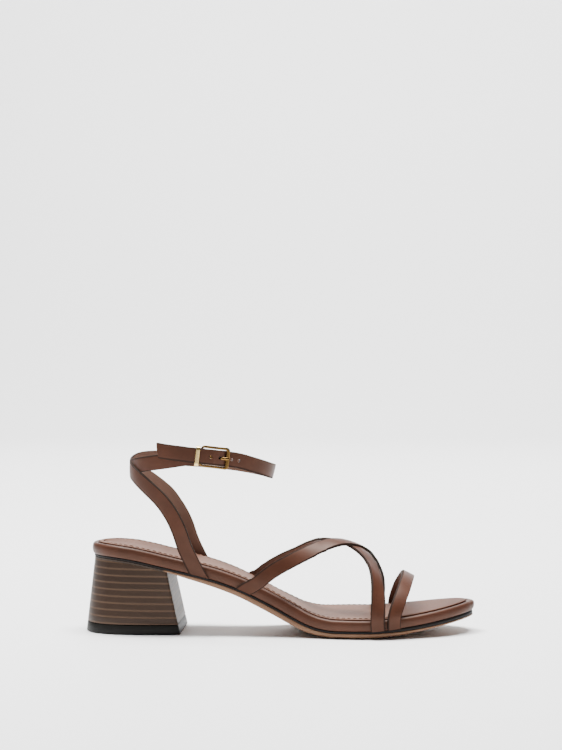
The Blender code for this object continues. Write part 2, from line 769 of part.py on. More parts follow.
def strap(name, grid):
    """Open surface of a strap, thickened to both sides of its middle."""
    rows, columns = grid.shape[:2]
    index = np.arange(rows * columns).reshape(rows, columns)
    faces = np.stack((index[:-1, :-1], index[:-1, 1:], index[1:, 1:], index[1:, :-1]), axis=-1)
    data = bpy.data.meshes.new(name)
    data.from_pydata(grid.reshape(-1, 3).tolist(), [], faces.reshape(-1, 4).tolist())
    piece = bpy.data.objects.new(name, data)
    wall = piece.modifiers.new("wall", "SOLIDIFY")
    wall.thickness = STRAP_THICKNESS
    wall.offset = 0.0
    wall.use_even_offset = True
    return piece


def table_path(rows, first, second, first_scale, second_scale):
    """Smooth path through a strap table, by share of the way between its rows."""
    firsts = column(rows, first) * first_scale
    seconds = column(rows, second) * second_scale
    lifts = column(rows, "lift")
    leans = column(rows, "lean")
    knots = np.linspace(0, 1, len(rows))

    def smooth(values, share):
        place = np.clip(share, 0, 1) * (len(values) - 1)
        cell = int(min(place, len(values) - 2))
        part = place - cell
        before = values[max(cell - 1, 0)]
        after = values[min(cell + 2, len(values) - 1)]
        here, there = values[cell], values[cell + 1]
        return here + part / 2 * (there - before + part * (
            2 * before - 5 * here + 4 * there - after + part * (3 * (here - there) + after - before)))

    def path(share):
        lift, lean = (float(monotone(knots, values, share)) for values in (lifts, leans))
        return smooth(firsts, share), smooth(seconds, share), lift, lean

    return path


def joined(target, tools, operation="UNION"):
    """Apply Boolean modifiers that add or cut the tools, and remove them."""
    for tool in tools:
        modifier = target.modifiers.new(operation.lower(), "BOOLEAN")
        modifier.operation = operation
        modifier.solver = "EXACT"
        modifier.object = tool
    bpy.context.view_layer.update()
    evaluated = target.evaluated_get(bpy.context.evaluated_depsgraph_get())
    data = bpy.data.meshes.new_from_object(evaluated)
    target.modifiers.clear()
    target.data = data
    for tool in tools:
        bpy.data.objects.remove(tool)
    return target


def rounded_rectangle(length, width, corner):
    """Corner points of a rectangle centred on the origin, with three-point round corners."""
    points = []
    for x_sign, y_sign, start in ((1, 1, 0), (-1, 1, 90), (-1, -1, 180), (1, -1, 270)):
        centre = (x_sign * (length / 2 - corner), y_sign * (width / 2 - corner))
        for step in (0, 30, 60, 90):
            angle = radians(start + step)
            points.append((centre[0] + corner * cos(angle), centre[1] + corner * sin(angle)))
    return points


def flat_ring(name, plate, window, corners, shift, thickness, bevel):
    """Flat plate with a window: a filled 2D curve of two outlines, made a mesh.

    plate and window are lengths and widths, corners their two corner radii, and
    shift is how far the window is moved along the plate.
    """
    data = bpy.data.curves.new(name, "CURVE")
    data.dimensions = "2D"
    data.fill_mode = "BOTH"
    data.extrude = thickness / 2 - bevel
    data.bevel_depth = bevel
    data.bevel_resolution = 0
    outlines = (
        (rounded_rectangle(plate[0] - 2 * bevel, plate[1] - 2 * bevel, corners[0] - bevel), 0.0),
        (rounded_rectangle(window[0] + 2 * bevel, window[1] + 2 * bevel, corners[1] + bevel), shift),
    )
    for points, along in outlines:
        spline = data.splines.new("POLY")
        spline.points.add(len(points) - 1)
        spline.use_cyclic_u = True
        for place, (x, y) in zip(spline.points, points):
            place.co = (x + along, y, 0.0, 1.0)
    return meshed(bpy.data.objects.new(name, data))


def meshed(curve):
    """Turn a curve object into a welded mesh object in the same place."""
    holder = bpy.context.scene.collection
    holder.objects.link(curve)
    bpy.context.view_layer.update()
    evaluated = curve.evaluated_get(bpy.context.evaluated_depsgraph_get())
    data = bpy.data.meshes.new_from_object(evaluated)
    mesh = bmesh.new()
    mesh.from_mesh(data)
    bmesh.ops.remove_doubles(mesh, verts=mesh.verts, dist=1e-7)
    bmesh.ops.recalc_face_normals(mesh, faces=mesh.faces)
    mesh.to_mesh(data)
    mesh.free()
    name = curve.name
    place = curve.matrix_world.copy()
    bpy.data.objects.remove(curve)
    piece = bpy.data.objects.new(name, data)
    piece.matrix_world = place
    return piece


def cylinder(name, radius, length, matrix, sides=16):
    """Cylinder along the placement's own Z axis."""
    mesh = bmesh.new()
    bmesh.ops.create_cone(mesh, cap_ends=True, segments=sides, radius1=radius, radius2=radius, depth=length)
    mesh.transform(matrix)
    data = bpy.data.meshes.new(name)
    mesh.to_mesh(data)
    mesh.free()
    return bpy.data.objects.new(name, data)


def box(name, size, matrix):
    """Box of three sizes centred on a placement."""
    mesh = bmesh.new()
    bmesh.ops.create_cube(mesh, size=1.0)
    mesh.transform(matrix @ Matrix.Diagonal((*size, 1.0)))
    data = bpy.data.meshes.new(name)
    mesh.to_mesh(data)
    mesh.free()
    return bpy.data.objects.new(name, data)


def make_toe_strap():
    """Single strap over the toes."""
    path = table_path(TOE_STRAP_ROWS, "station", "turn", SOLE_LENGTH, 1.0)
    return strap("toe_strap", ribbon(last_point, LAST_NUDGES, path, TOE_STRAP_WIDTH, 41).grid)


def make_instep_straps(workshop):
    """Two crossing straps, joined where the outer one passes over the inner one."""
    over = table_path(INSTEP_STRAP_ROWS, "station", "turn", SOLE_LENGTH, 1.0)

    def under(share):
        x, turn, _, lean = over(share)
        return x - INNER_BACK * (1 - min(2 * share, 1.0)**3)**2, 1 - turn, 0.0, -lean

    upper = strap("instep_straps", ribbon(last_point, LAST_NUDGES, over, INSTEP_STRAP_WIDTH, 57).grid)
    lower = strap("under_strap", ribbon(last_point, LAST_NUDGES, under, INSTEP_STRAP_WIDTH, 57).grid)
    workshop.objects.link(upper)
    workshop.objects.link(lower)
    return joined(upper, [lower])


class Buckle(NamedTuple):
    """Where the buckle stands: its placement, its reach between bars and its share of the strap."""
    matrix: Matrix
    reach: float
    share: float


def place_buckle(path):
    """Stand the buckle on the long strap's path, from its rear bar to its front bar."""
    shares = np.linspace(0.5, 1, 1200)
    angles = np.array([path(share)[0] for share in shares])
    rear_share = float(np.interp(2 * pi - radians(REAR_BAR_ANGLE), -angles, shares))
    reach = FRAME_LENGTH - BAR_THICKNESS / 2 - OUTER_BAR_WIDTH / 2

    def bar_centre(share, offset):
        first, height = path(share)[:2]
        outward = leg_point(first, height) - np.array([ANKLE_BACK + ANKLE_LENGTH / 2, 0.0, height])
        outward[0] *= (ANKLE_WIDTH / ANKLE_LENGTH)**2
        return leg_point(first, height) + offset * outward / np.linalg.norm(outward)

    rear = bar_centre(rear_share, SLEEVE_RADIUS)
    front_offset = STRAP_THICKNESS + FIT + BAR_THICKNESS / 2
    before = [share for share in shares if share < rear_share]
    gaps = [abs(np.linalg.norm(bar_centre(share, front_offset) - rear) - reach) for share in before]
    front = bar_centre(before[int(np.argmin(gaps))], front_offset)
    along = Vector(front - rear).normalized()
    across = Vector((0, 0, 1))
    across = (across - across.dot(along) * along).normalized()
    matrix = Matrix.Identity(4)
    for index, axis in enumerate((along, across, along.cross(across))):
        for place in range(3):
            matrix[place][index] = axis[place]
    matrix.translation = Vector(rear)
    return Buckle(matrix, reach, rear_share)


def bar_axis(matrix):
    """Placement whose Z axis runs along the buckle's bars."""
    return matrix @ Matrix.Rotation(-pi / 2, 4, "X")


def make_ankle_straps(workshop, buckle, long_path):
    """Long and short ankle strap, joined behind the ankle, with the sleeve and the holes."""
    short_path = table_path(SHORT_STRAP_ROWS, "angle", "height", pi / 180, ANKLE_HEIGHT)
    short_line = ribbon(leg_point, LEG_NUDGES, short_path, ANKLE_STRAP_WIDTH, 95, (True, False))
    short = strap("short_strap", short_line.grid)
    bar = bar_axis(buckle.matrix)
    sleeve = cylinder("sleeve", SLEEVE_RADIUS, ANKLE_STRAP_WIDTH, bar, 20)
    bar_hole = cylinder("bar_hole", SLEEVE_RADIUS - SLEEVE_WALL, 3 * ANKLE_STRAP_WIDTH, bar, 16)
    slot = box("prong_slot", (6 * SLEEVE_RADIUS, PRONG_SLOT, 6 * SLEEVE_RADIUS), buckle.matrix)
    for item in (short, sleeve, bar_hole, slot):
        workshop.objects.link(item)
    joined(short, [sleeve])
    joined(short, [bar_hole, slot], "DIFFERENCE")
    line = ribbon(leg_point, LEG_NUDGES, long_path, ANKLE_STRAP_WIDTH, 165, (True, False),
                  TAIL_SLANT * SHARE_PER_SLANT)
    long_strap = strap("ankle_straps", line.grid)
    workshop.objects.link(long_strap)
    joined(long_strap, [short])
    cutters = strap_holes(line, buckle)
    for cutter in cutters:
        workshop.objects.link(cutter)
    return joined(long_strap, cutters, "DIFFERENCE")


def strap_holes(line, buckle):
    """Cutters for the prong's slot and for the strap's round holes."""
    run = np.concatenate(([0.0], np.cumsum(np.linalg.norm(np.diff(line.centres, axis=0), axis=1))))
    inverse = buckle.matrix.inverted()
    local = np.array([inverse @ Vector(point) for point in line.centres])
    rear = float(np.interp(buckle.share, np.linspace(0, 1, len(run)), run))
    near = (run > rear - 1.5 * FRAME_LENGTH) & (run < rear)
    at_prong = float(np.interp(-PRONG_HOLE * buckle.reach, -local[near, 0], run[near]))
    cutters = []
    for count in (1, 0, -1, -2, -3):
        at = at_prong + count * HOLE_PITCH
        centre, along, side, normal = (
            Vector([np.interp(at, run, values[:, axis]) for axis in range(3)])
            for values in (line.centres, line.alongs, line.sides, line.normals))
        matrix = Matrix((along.normalized(), side.normalized(), normal.normalized())).transposed().to_4x4()
        matrix.translation = centre
        if count:
            cutters.append(cylinder("hole", HOLE_DIAMETER / 2, 3 * STRAP_THICKNESS, matrix, 14))
        else:
            cutters.append(box("prong_hole", (PRONG_HOLE_LENGTH, PRONG_SLOT, 3 * STRAP_THICKNESS), matrix))
    return cutters


def make_buckle_frame(buckle):
    """Rectangular frame with rounded corners and a wider front bar."""
    window = (buckle.reach - BAR_THICKNESS / 2 - OUTER_BAR_WIDTH / 2, ANKLE_STRAP_WIDTH + 2 * FRAME_SIDE_GAP)
    height = window[1] + 2 * SIDE_BAR_WIDTH
    frame = flat_ring("buckle_frame", (FRAME_LENGTH, height), window, (FRAME_CORNER, FRAME_CORNER / 4),
                      (BAR_THICKNESS - OUTER_BAR_WIDTH) / 2, BAR_THICKNESS, BAR_THICKNESS / 5)
    middle = Matrix.Translation((buckle.reach / 2 + (OUTER_BAR_WIDTH - BAR_THICKNESS) / 4, 0, 0))
    frame.data.transform(buckle.matrix @ middle)
    return frame


def make_prong(workshop, buckle):
    """Prong: a ring on the rear bar and a tongue that rests on the front bar."""
    over_front = BAR_THICKNESS / 2 + FIT + PRONG_THICKNESS / 2
    reach = buckle.reach
    eye_radius = BAR_THICKNESS / 2 * 2**0.5 + FIT
    points = (
        (eye_radius / 2, 0.1 * PRONG_THICKNESS),
        (0.48 * reach, 0.2 * PRONG_THICKNESS),
        (0.60 * reach, 0.6 * over_front),
        (0.74 * reach, 1.06 * over_front),
        (0.90 * reach, 1.10 * over_front),
        (reach + OUTER_BAR_WIDTH / 4, over_front),
    )
    data = bpy.data.curves.new("tongue", "CURVE")
    data.dimensions = "3D"
    data.bevel_depth = PRONG_THICKNESS / 2
    data.bevel_resolution = 2
    data.use_fill_caps = True
    spline = data.splines.new("POLY")
    spline.points.add(len(points) - 1)
    for place, (x, z) in zip(spline.points, points):
        place.co = (x, 0.0, z, 1.0)
    tongue = meshed(bpy.data.objects.new("buckle_prong", data))
    bar = bar_axis(Matrix.Identity(4))
    eye = cylinder("eye", eye_radius + PRONG_THICKNESS / 2, PRONG_SLOT - 4 * FIT, bar, 24)
    hole = cylinder("eye_hole", eye_radius, 3 * PRONG_THICKNESS, bar, 24)
    for item in (tongue, eye, hole):
        workshop.objects.link(item)
    joined(tongue, [eye])
    joined(tongue, [hole], "DIFFERENCE")
    tongue.data.transform(buckle.matrix)
    return tongue


def make_keeper(buckle):
    """Loop that holds the tail on the short strap, just behind the buckle."""
    back = -BAR_THICKNESS / 2 - FRAME_SIDE_GAP - KEEPER_WIDTH / 2
    low = -SLEEVE_RADIUS - 7 * FIT
    high = low + KEEPER_ROOM * (STRAP_THICKNESS + FIT)
    width = ANKLE_STRAP_WIDTH + 9 * FIT
    plate = (high - low + 2 * KEEPER_WALL, width + 2 * KEEPER_WALL)
    corners = (FRAME_CORNER, FRAME_CORNER / 2)
    keeper = flat_ring("keeper", plate, (high - low, width), corners, 0.0, KEEPER_WIDTH, KEEPER_WALL / 4)
    turned = Matrix.Rotation(-pi / 2, 4, "Y")
    middle = Matrix.Translation((back, -KEEPER_DROP, (low + high) / 2))
    keeper.data.transform(buckle.matrix @ middle @ turned)
    return keeper


def painted(piece, paint):
    """Give a piece its own material."""
    material = bpy.data.materials.new(piece.name)
    material.use_nodes = True
    shader = material.node_tree.nodes["Principled BSDF"]
    linear = [((share + 0.055) / 1.055)**2.4 for share in paint.colour]
    shader.inputs["Base Color"].default_value = (*linear, 1.0)
    shader.inputs["Roughness"].default_value = paint.roughness
    shader.inputs["Metallic"].default_value = paint.metallic
    piece.data.materials.clear()
    piece.data.materials.append(material)


def main():
    """Build the shoe and stand it on the floor with the origin under its middle."""
    for item in list(bpy.data.objects):
        bpy.data.objects.remove(item)
    shoe = bpy.data.collections.new("strappy_heeled_sandal")
    workshop = bpy.data.collections.new("cutters")
    bpy.context.scene.collection.children.link(shoe)
    bpy.context.scene.collection.children.link(workshop)
    long_path = table_path(LONG_STRAP_ROWS, "angle", "height", pi / 180, ANKLE_HEIGHT)
    buckle = place_buckle(long_path)
    pieces = (
        (make_outsole(), BEIGE),
        (make_midsole(), BLACK),
        (make_footbed(), BROWN),
        (make_sock(), TAUPE),
        (heel_piece("heel_block", LIFT_HEIGHT + FIT, None), STACK),
        (heel_piece("top_lift", 0.0, LIFT_HEIGHT), RUBBER),
        (make_toe_strap(), BROWN),
        (make_instep_straps(workshop), BROWN),
        (make_ankle_straps(workshop, buckle, long_path), BROWN),
        (make_buckle_frame(buckle), GOLD),
        (make_prong(workshop, buckle), GOLD),
        (make_keeper(buckle), GOLD),
    )
    root = bpy.data.objects.new("sandal", None)
    shoe.objects.link(root)
    reach = []
    for piece, paint in pieces:
        for holder in piece.users_collection:
            holder.objects.unlink(piece)
        shoe.objects.link(piece)
        painted(piece, paint)
        piece.parent = root
        corners = np.array([piece.matrix_world @ vertex.co for vertex in piece.data.vertices])
        reach.append((corners.min(axis=0), corners.max(axis=0)))
    low = np.min([pair[0] for pair in reach], axis=0)
    high = np.max([pair[1] for pair in reach], axis=0)
    root.location = (-(low[0] + high[0]) / 2, -(low[1] + high[1]) / 2, -low[2])


main()
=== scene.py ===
"""Looks of the strappy heeled sandal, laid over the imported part.

Every leather piece, the layered heel, the sole's edges and the metal parts are
surfaces worked out on grids. They share the part's own form: a feather surface
under the foot, a last over it and an oval form round the ankle.
"""

import logging
from dataclasses import dataclass
from enum import Enum
from math import pi, radians
from typing import Callable, NamedTuple, Optional, Sequence

import bmesh
import bpy
import numpy as np
from mathutils import Matrix, Vector

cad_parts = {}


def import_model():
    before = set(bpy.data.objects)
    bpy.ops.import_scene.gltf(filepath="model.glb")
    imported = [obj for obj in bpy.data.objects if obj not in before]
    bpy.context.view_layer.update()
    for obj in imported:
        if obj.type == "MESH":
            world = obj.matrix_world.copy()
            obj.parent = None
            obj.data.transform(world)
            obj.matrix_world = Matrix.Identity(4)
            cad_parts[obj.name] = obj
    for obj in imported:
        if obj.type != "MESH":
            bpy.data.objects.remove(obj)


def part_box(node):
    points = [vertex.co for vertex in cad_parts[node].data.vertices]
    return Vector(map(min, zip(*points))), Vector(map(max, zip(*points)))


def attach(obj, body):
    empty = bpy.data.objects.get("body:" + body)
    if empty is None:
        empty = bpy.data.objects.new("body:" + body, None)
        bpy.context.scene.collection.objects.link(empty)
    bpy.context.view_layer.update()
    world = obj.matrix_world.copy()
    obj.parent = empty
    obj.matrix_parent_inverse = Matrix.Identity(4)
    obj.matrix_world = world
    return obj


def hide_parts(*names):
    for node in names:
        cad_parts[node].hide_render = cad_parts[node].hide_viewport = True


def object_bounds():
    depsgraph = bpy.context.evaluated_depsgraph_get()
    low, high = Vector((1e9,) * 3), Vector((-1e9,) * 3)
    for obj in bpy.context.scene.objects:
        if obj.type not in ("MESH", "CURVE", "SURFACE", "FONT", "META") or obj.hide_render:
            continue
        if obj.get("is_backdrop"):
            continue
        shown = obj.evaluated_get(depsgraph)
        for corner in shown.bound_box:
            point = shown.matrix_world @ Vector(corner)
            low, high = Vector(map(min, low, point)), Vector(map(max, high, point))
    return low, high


LOG = logging.getLogger("sandal")
Array = np.ndarray
Colour = tuple[float, float, float]

# Driving dimensions of the sole, in metres
SOLE_LENGTH = 0.2345
BALL_WIDTH = 0.0750
WAIST_WIDTH = 0.0432
SEAT_WIDTH = 0.0500
SEAT_HEIGHT = 0.0476
TOE_SPRING = 0.0088
WAIST_CANT = 0.0030
RIM_HEIGHT = 0.0068
RIM_BULGE = 0.0008
OUTSOLE_THICKNESS = 0.0031
OUTSOLE_EDGE_LIFT = 0.0014
MIDSOLE_THICKNESS = 0.0014
SOCK_THICKNESS = 0.0011
SOCK_INSET = 0.0032
SEAT_CUP = 0.0012
FIT = 0.0002

# Driving dimensions of the heel
HEEL_TOP_LENGTH = 0.0476
HEEL_TOP_INSET = 0.0006
HEEL_BACK_FLARE = 0.0045
HEEL_FRONT_FLARE = 0.0083
HEEL_BASE_WIDTH = 0.0532
HEEL_CORNER = 0.0010
LIFT_HEIGHT = 0.0060

# Driving dimensions of the straps
INSTEP_HEIGHT = 0.0420
SECTION_POWER = 1.85
STRAP_THICKNESS = 0.0018
STRAP_JOIN = 0.0004
TOE_STRAP_WIDTH = 0.0080
INSTEP_STRAP_WIDTH = 0.0086
INNER_BACK = 0.0025
ANKLE_STRAP_WIDTH = 0.0093
ANKLE_BACK = 0.0254
ANKLE_LENGTH = 0.0864
ANKLE_WIDTH = 0.0560
ANKLE_HEIGHT = 0.1050
ANKLE_FRONT_LEAN = 0.25
TAIL_SLANT = 0.0045

# Driving dimensions of the buckle, keeper and holes
BAR_THICKNESS = 0.0014
OUTER_BAR_WIDTH = 0.0022
SIDE_BAR_WIDTH = 0.0016
FRAME_LENGTH = 0.0178
FRAME_SIDE_GAP = 0.0004
FRAME_CORNER = 0.0016
SLEEVE_WALL = 0.0005
REAR_BAR_ANGLE = 270.9
PRONG_THICKNESS = 0.0014
PRONG_SLOT = 0.0024
KEEPER_WIDTH = 0.0024
KEEPER_WALL = 0.0007
KEEPER_DROP = 0.0004
HOLE_DIAMETER = 0.0020
HOLE_PITCH = 0.0045

# The prong's hole as a share of the way from the buckle's rear bar to its front bar,
# and the keeper's inner height in strap thicknesses with their fits
PRONG_HOLE = 0.635
KEEPER_ROOM = 3.65

# The slanted cut of the tail as a share of the long strap for each metre of slant
SHARE_PER_SLANT = 3.03

# Small steps in each form's two parameters from which its directions are taken
LAST_NUDGES = (0.0005, 0.012)
LEG_NUDGES = (0.004, 0.0002)

# The same for the sole: a step along the foot
SOLE_NUDGE = SOLE_LENGTH / 400

# How much the points of the outline crowd towards its middle
MIDDLE_CROWDING = 0.22

# First and last place and number of places of the last's grid, along and round the foot
LAST_STATIONS = (0.30, 0.90, 181)
LAST_TURNS = (-0.12, 1.12, 249)

# Distances in metres below which points are merged and slivers dissolved
WELD_DISTANCE = 2e-6
SLIVER = 1e-7

# Sides of a round hole, width of the prong in its thickness, and the share that its tip takes up
HOLE_SIDES = 32
PRONG_BREADTH = 1.3
PRONG_TIP = 0.045

# A place along the foot that no piece reaches, in metres
NOWHERE = 9.0


class HeightRow(NamedTuple):
    """Feather height: rise is a share of the seat's rise, spring of the toe spring."""
    station: float
    rise: float
    spring: float
    cant: float


HEIGHT_ROWS = tuple(HeightRow(*row) for row in (
    (0.00, 1.000, 0.00, 0.0), (0.04, 0.995, 0.00, 0.0), (0.09, 0.970, 0.00, 0.0),
    (0.14, 0.920, 0.00, 0.0), (0.19, 0.856, 0.00, 0.0), (0.24, 0.793, 0.00, 0.0),
    (0.29, 0.726, 0.00, 0.0), (0.34, 0.646, 0.00, 0.1), (0.39, 0.546, 0.00, 0.4),
    (0.44, 0.422, 0.00, 0.8), (0.49, 0.288, 0.00, 1.0), (0.53, 0.175, 0.00, 1.0),
    (0.57, 0.074, 0.00, 0.6), (0.60, 0.026, 0.00, 0.3), (0.64, 0.000, 0.00, 0.0),
    (0.73, 0.000, 0.00, 0.0), (0.78, 0.000, 0.10, 0.0), (0.83, 0.000, 0.26, 0.0),
    (0.88, 0.000, 0.45, 0.0), (0.93, 0.000, 0.67, 0.0), (0.97, 0.000, 0.86, 0.0),
    (1.00, 0.000, 1.00, 0.0),
))


class PlanRow(NamedTuple):
    """Outline: half is a share of half the width named, skew a share of half the ball."""
    station: float
    width: float
    half: float
    skew: float


PLAN_ROWS = tuple(PlanRow(*row) for row in (
    (0.00, SEAT_WIDTH, 0.000, 0.000),   (0.02, SEAT_WIDTH, 0.568, 0.000),
    (0.05, SEAT_WIDTH, 0.824, 0.000),   (0.10, SEAT_WIDTH, 0.984, 0.000),
    (0.15, SEAT_WIDTH, 1.000, -0.005),  (0.20, SEAT_WIDTH, 0.984, -0.018),
    (0.25, WAIST_WIDTH, 1.097, -0.034), (0.30, WAIST_WIDTH, 1.042, -0.050),
    (0.35, WAIST_WIDTH, 1.005, -0.064), (0.40, WAIST_WIDTH, 1.000, -0.075),
    (0.45, WAIST_WIDTH, 1.069, -0.080), (0.50, BALL_WIDTH, 0.693, -0.078),
    (0.55, BALL_WIDTH, 0.795, -0.070),  (0.60, BALL_WIDTH, 0.891, -0.056),
    (0.65, BALL_WIDTH, 0.965, -0.043),  (0.70, BALL_WIDTH, 1.000, -0.032),
    (0.75, BALL_WIDTH, 0.995, -0.016),  (0.80, BALL_WIDTH, 0.946, 0.003),
    (0.85, BALL_WIDTH, 0.860, 0.027),   (0.90, BALL_WIDTH, 0.730, 0.053),
    (0.93, BALL_WIDTH, 0.625, 0.070),   (0.96, BALL_WIDTH, 0.480, 0.085),
    (0.98, BALL_WIDTH, 0.340, 0.093),   (1.00, BALL_WIDTH, 0.000, 0.099),
))


class LayerRow(NamedTuple):
    """Layers: each column is a share of that layer's own named size."""
    station: float
    rim: float
    midsole: float
    outsole: float
    edge_lift: float
    cup: float


LAYER_ROWS = tuple(LayerRow(*row) for row in (
    (0.00, 1.03, 0.90, 0.32, 0.0, 1.0), (0.20, 1.02, 0.90, 0.32, 0.0, 0.9),
    (0.27, 1.00, 1.00, 0.70, 0.2, 0.6), (0.35, 1.00, 1.00, 0.95, 0.3, 0.4),
    (0.50, 1.00, 1.00, 1.05, 0.4, 0.3), (0.62, 0.94, 1.00, 1.00, 1.0, 0.3),
    (0.74, 0.90, 1.00, 1.00, 1.0, 0.2), (0.82, 0.88, 1.50, 0.66, 0.6, 0.1),
    (0.94, 0.86, 1.70, 0.40, 0.4, 0.0), (1.00, 0.83, 1.70, 0.34, 0.3, 0.0),
))


class EdgeRow(NamedTuple):
    """Edge profile: inset in metres from the outline, level from 0 below to 1 above."""
    inset: float
    level: float


FOOTBED_EDGE = tuple(EdgeRow(*row) for row in (
    (0.2 * RIM_BULGE, 0.00),  (-0.7 * RIM_BULGE, 0.22), (-RIM_BULGE, 0.52),
    (-0.7 * RIM_BULGE, 0.80), (0.5 * RIM_BULGE, 0.97),  (1.6 * RIM_BULGE, 1.00),
    (0.8 * SOCK_INSET, 0.91),
))


class CrestRow(NamedTuple):
    """Crest of the last above the footbed's rim, as a share of the instep height."""
    station: float
    crest: float


CREST_ROWS = tuple(CrestRow(*row) for row in (
    (0.00, 2.00),  (0.30, 1.40),  (0.39, 1.26),  (0.44, 1.19),  (0.49, 1.13),  (0.54, 1.10),
    (0.59, 1.08),  (0.64, 1.035), (0.70, 0.93),  (0.74, 0.805), (0.775, 0.69), (0.81, 0.575),
    (0.84, 0.47),  (0.90, 0.28),  (1.00, 0.08),
))


class StrapRow(NamedTuple):
    """Strap over the last: turn runs from the outer feather line (0) to the inner (1)."""
    turn: float
    station: float
    lift: float
    lean: float = 0.0


TOE_STRAP_ROWS = tuple(StrapRow(*row) for row in (
    (-0.05, 0.791, 0.0), (0.00, 0.791, 0.0),  (0.08, 0.796, 0.0),  (0.16, 0.808, 0.0),
    (0.25, 0.819, 0.0),  (0.38, 0.828, 0.0),  (0.50, 0.831, 0.0),  (0.62, 0.829, 0.0),
    (0.75, 0.820, 0.0),  (0.84, 0.809, 0.0),  (0.92, 0.799, 0.0),  (1.00, 0.793, 0.0),
    (1.05, 0.792, 0.0),
))

# A lift is counted in strap thicknesses plus the fit. JOINED is the lift of a strap
# that is joined over another one, OVER_BAR that of a strap over the buckle's sleeve.
# A lean is the slope across the strap, by which its heel-side edge stands off the last
JOINED = (STRAP_THICKNESS - STRAP_JOIN) / (STRAP_THICKNESS + FIT)
SLEEVE_RADIUS = BAR_THICKNESS / 2 * 2**0.5 + FIT + SLEEVE_WALL
OVER_BAR = (2 * SLEEVE_RADIUS + 1.5 * FIT) / (STRAP_THICKNESS + FIT)

# The strap that starts at the outer waist and ends at the inner ball; the other
# instep strap is its mirror image, set back on the inner side, and passes under it
INSTEP_STRAP_ROWS = tuple(StrapRow(*row) for row in (
    (-0.07, 0.372, 0.0),               (0.00, 0.401, 0.0),
    (0.08, 0.434, 0.0),                (0.16, 0.469, 0.0),
    (0.24, 0.509, 0.0),                (0.32, 0.553, 0.0),
    (0.395, 0.599, 0.1 * JOINED),      (0.45, 0.639, 0.8 * JOINED),
    (0.50, 0.678, JOINED),             (0.55, 0.709, 0.8 * JOINED),
    (0.61, 0.729, 0.2 * JOINED, 0.12), (0.68, 0.741, 0.0, 0.42),
    (0.76, 0.748, 0.0, 0.48),          (0.85, 0.751, 0.0, 0.28),
    (0.93, 0.751, 0.0, 0.06),          (1.00, 0.751, 0.0),
    (1.07, 0.751, 0.0),
))


class AnkleRow(NamedTuple):
    """Ankle strap: angle in degrees, 0 front, 90 inner, 180 back, 270 outer."""
    angle: float
    height: float
    lift: float
    lean: float = 0.0


# The long strap: outer upright, round the back, inner side, front, then over the
# buckle's bar to its free tail on the outer side. Height is a share of ankle height.
LONG_STRAP_ROWS = tuple(AnkleRow(*row) for row in (
    (277.5, 0.220, 0.0),             (273.0, 0.290, 0.0),             (268.1, 0.345, 0.0),
    (262.5, 0.425, 0.0),             (257.0, 0.510, 0.0),             (252.0, 0.612, 0.0),
    (244.5, 0.710, 0.0),             (232.0, 0.806, 0.3),             (208.5, 0.903, JOINED),
    (180.0, 0.962, JOINED),          (155.0, 0.996, JOINED),          (130.0, 1.000, 0.2),
    (105.0, 0.990, 0.0),             (75.0, 0.972, 0.0),              (45.0, 0.950, 0.0),
    (20.0, 0.937, 0.0),              (0.0, 0.939, 0.0),               (-20.0, 0.953, 0.0),
    (-42.0, 0.984, 0.0),             (-57.5, 1.011, 0.0),             (-69.3, 1.025, 0.0),
    (-73.3, 1.029, 0.42 * OVER_BAR), (-77.3, 1.033, 0.84 * OVER_BAR), (-81.8, 1.037, OVER_BAR),
    (-89.1, 1.042, OVER_BAR),        (-94.3, 1.046, 0.90 * OVER_BAR), (-99.8, 1.050, 0.66 * OVER_BAR),
    (-105.8, 1.055, 1.05),           (-115.5, 1.062, 1.0),            (-127.0, 1.072, 1.0),
))

# The short strap: inner upright, round the back under the long one, outer side to
# the buckle's inner bar
SHORT_STRAP_ROWS = tuple(AnkleRow(*row) for row in (
    (82.5, 0.220, 0.0),            (87.6, 0.290, 0.0),            (92.6, 0.345, 0.0),
    (98.2, 0.425, 0.0),            (104.0, 0.510, 0.0),           (109.4, 0.612, 0.0),
    (117.2, 0.710, 0.0),           (129.0, 0.806, 0.0),           (151.5, 0.897, 0.0),
    (180.0, 0.950, 0.0),           (205.0, 0.976, 0.0),           (238.0, 1.006, 0.0),
    (254.5, 1.0240, 0.0),          (REAR_BAR_ANGLE, 1.0425, 0.0),
))


class HeelRow(NamedTuple):
    """Heel base: share of its length from the back, half as a share of half its width."""
    share: float
    half: float


HEEL_ROWS = tuple(HeelRow(*row) for row in (
    (0.00, 0.000), (0.04, 0.470), (0.12, 0.730), (0.25, 0.905), (0.42, 0.985), (0.65, 1.000),
    (0.85, 0.970), (1.00, 0.930),
))


class Finish(Enum):
    """Material slots of the record that the pieces take their finish from."""

    OUTSOLE = "outsole"
    MIDSOLE = "midsole"
    RIM = "rim_leather"
    SOCK = "sock_leather"
    HEEL = "heel_stack"
    LIFT = "lift_rubber"
    STRAP = "strap_leather"
    BUCKLE = "buckle_metal"
    KEEPER = "keeper_metal"


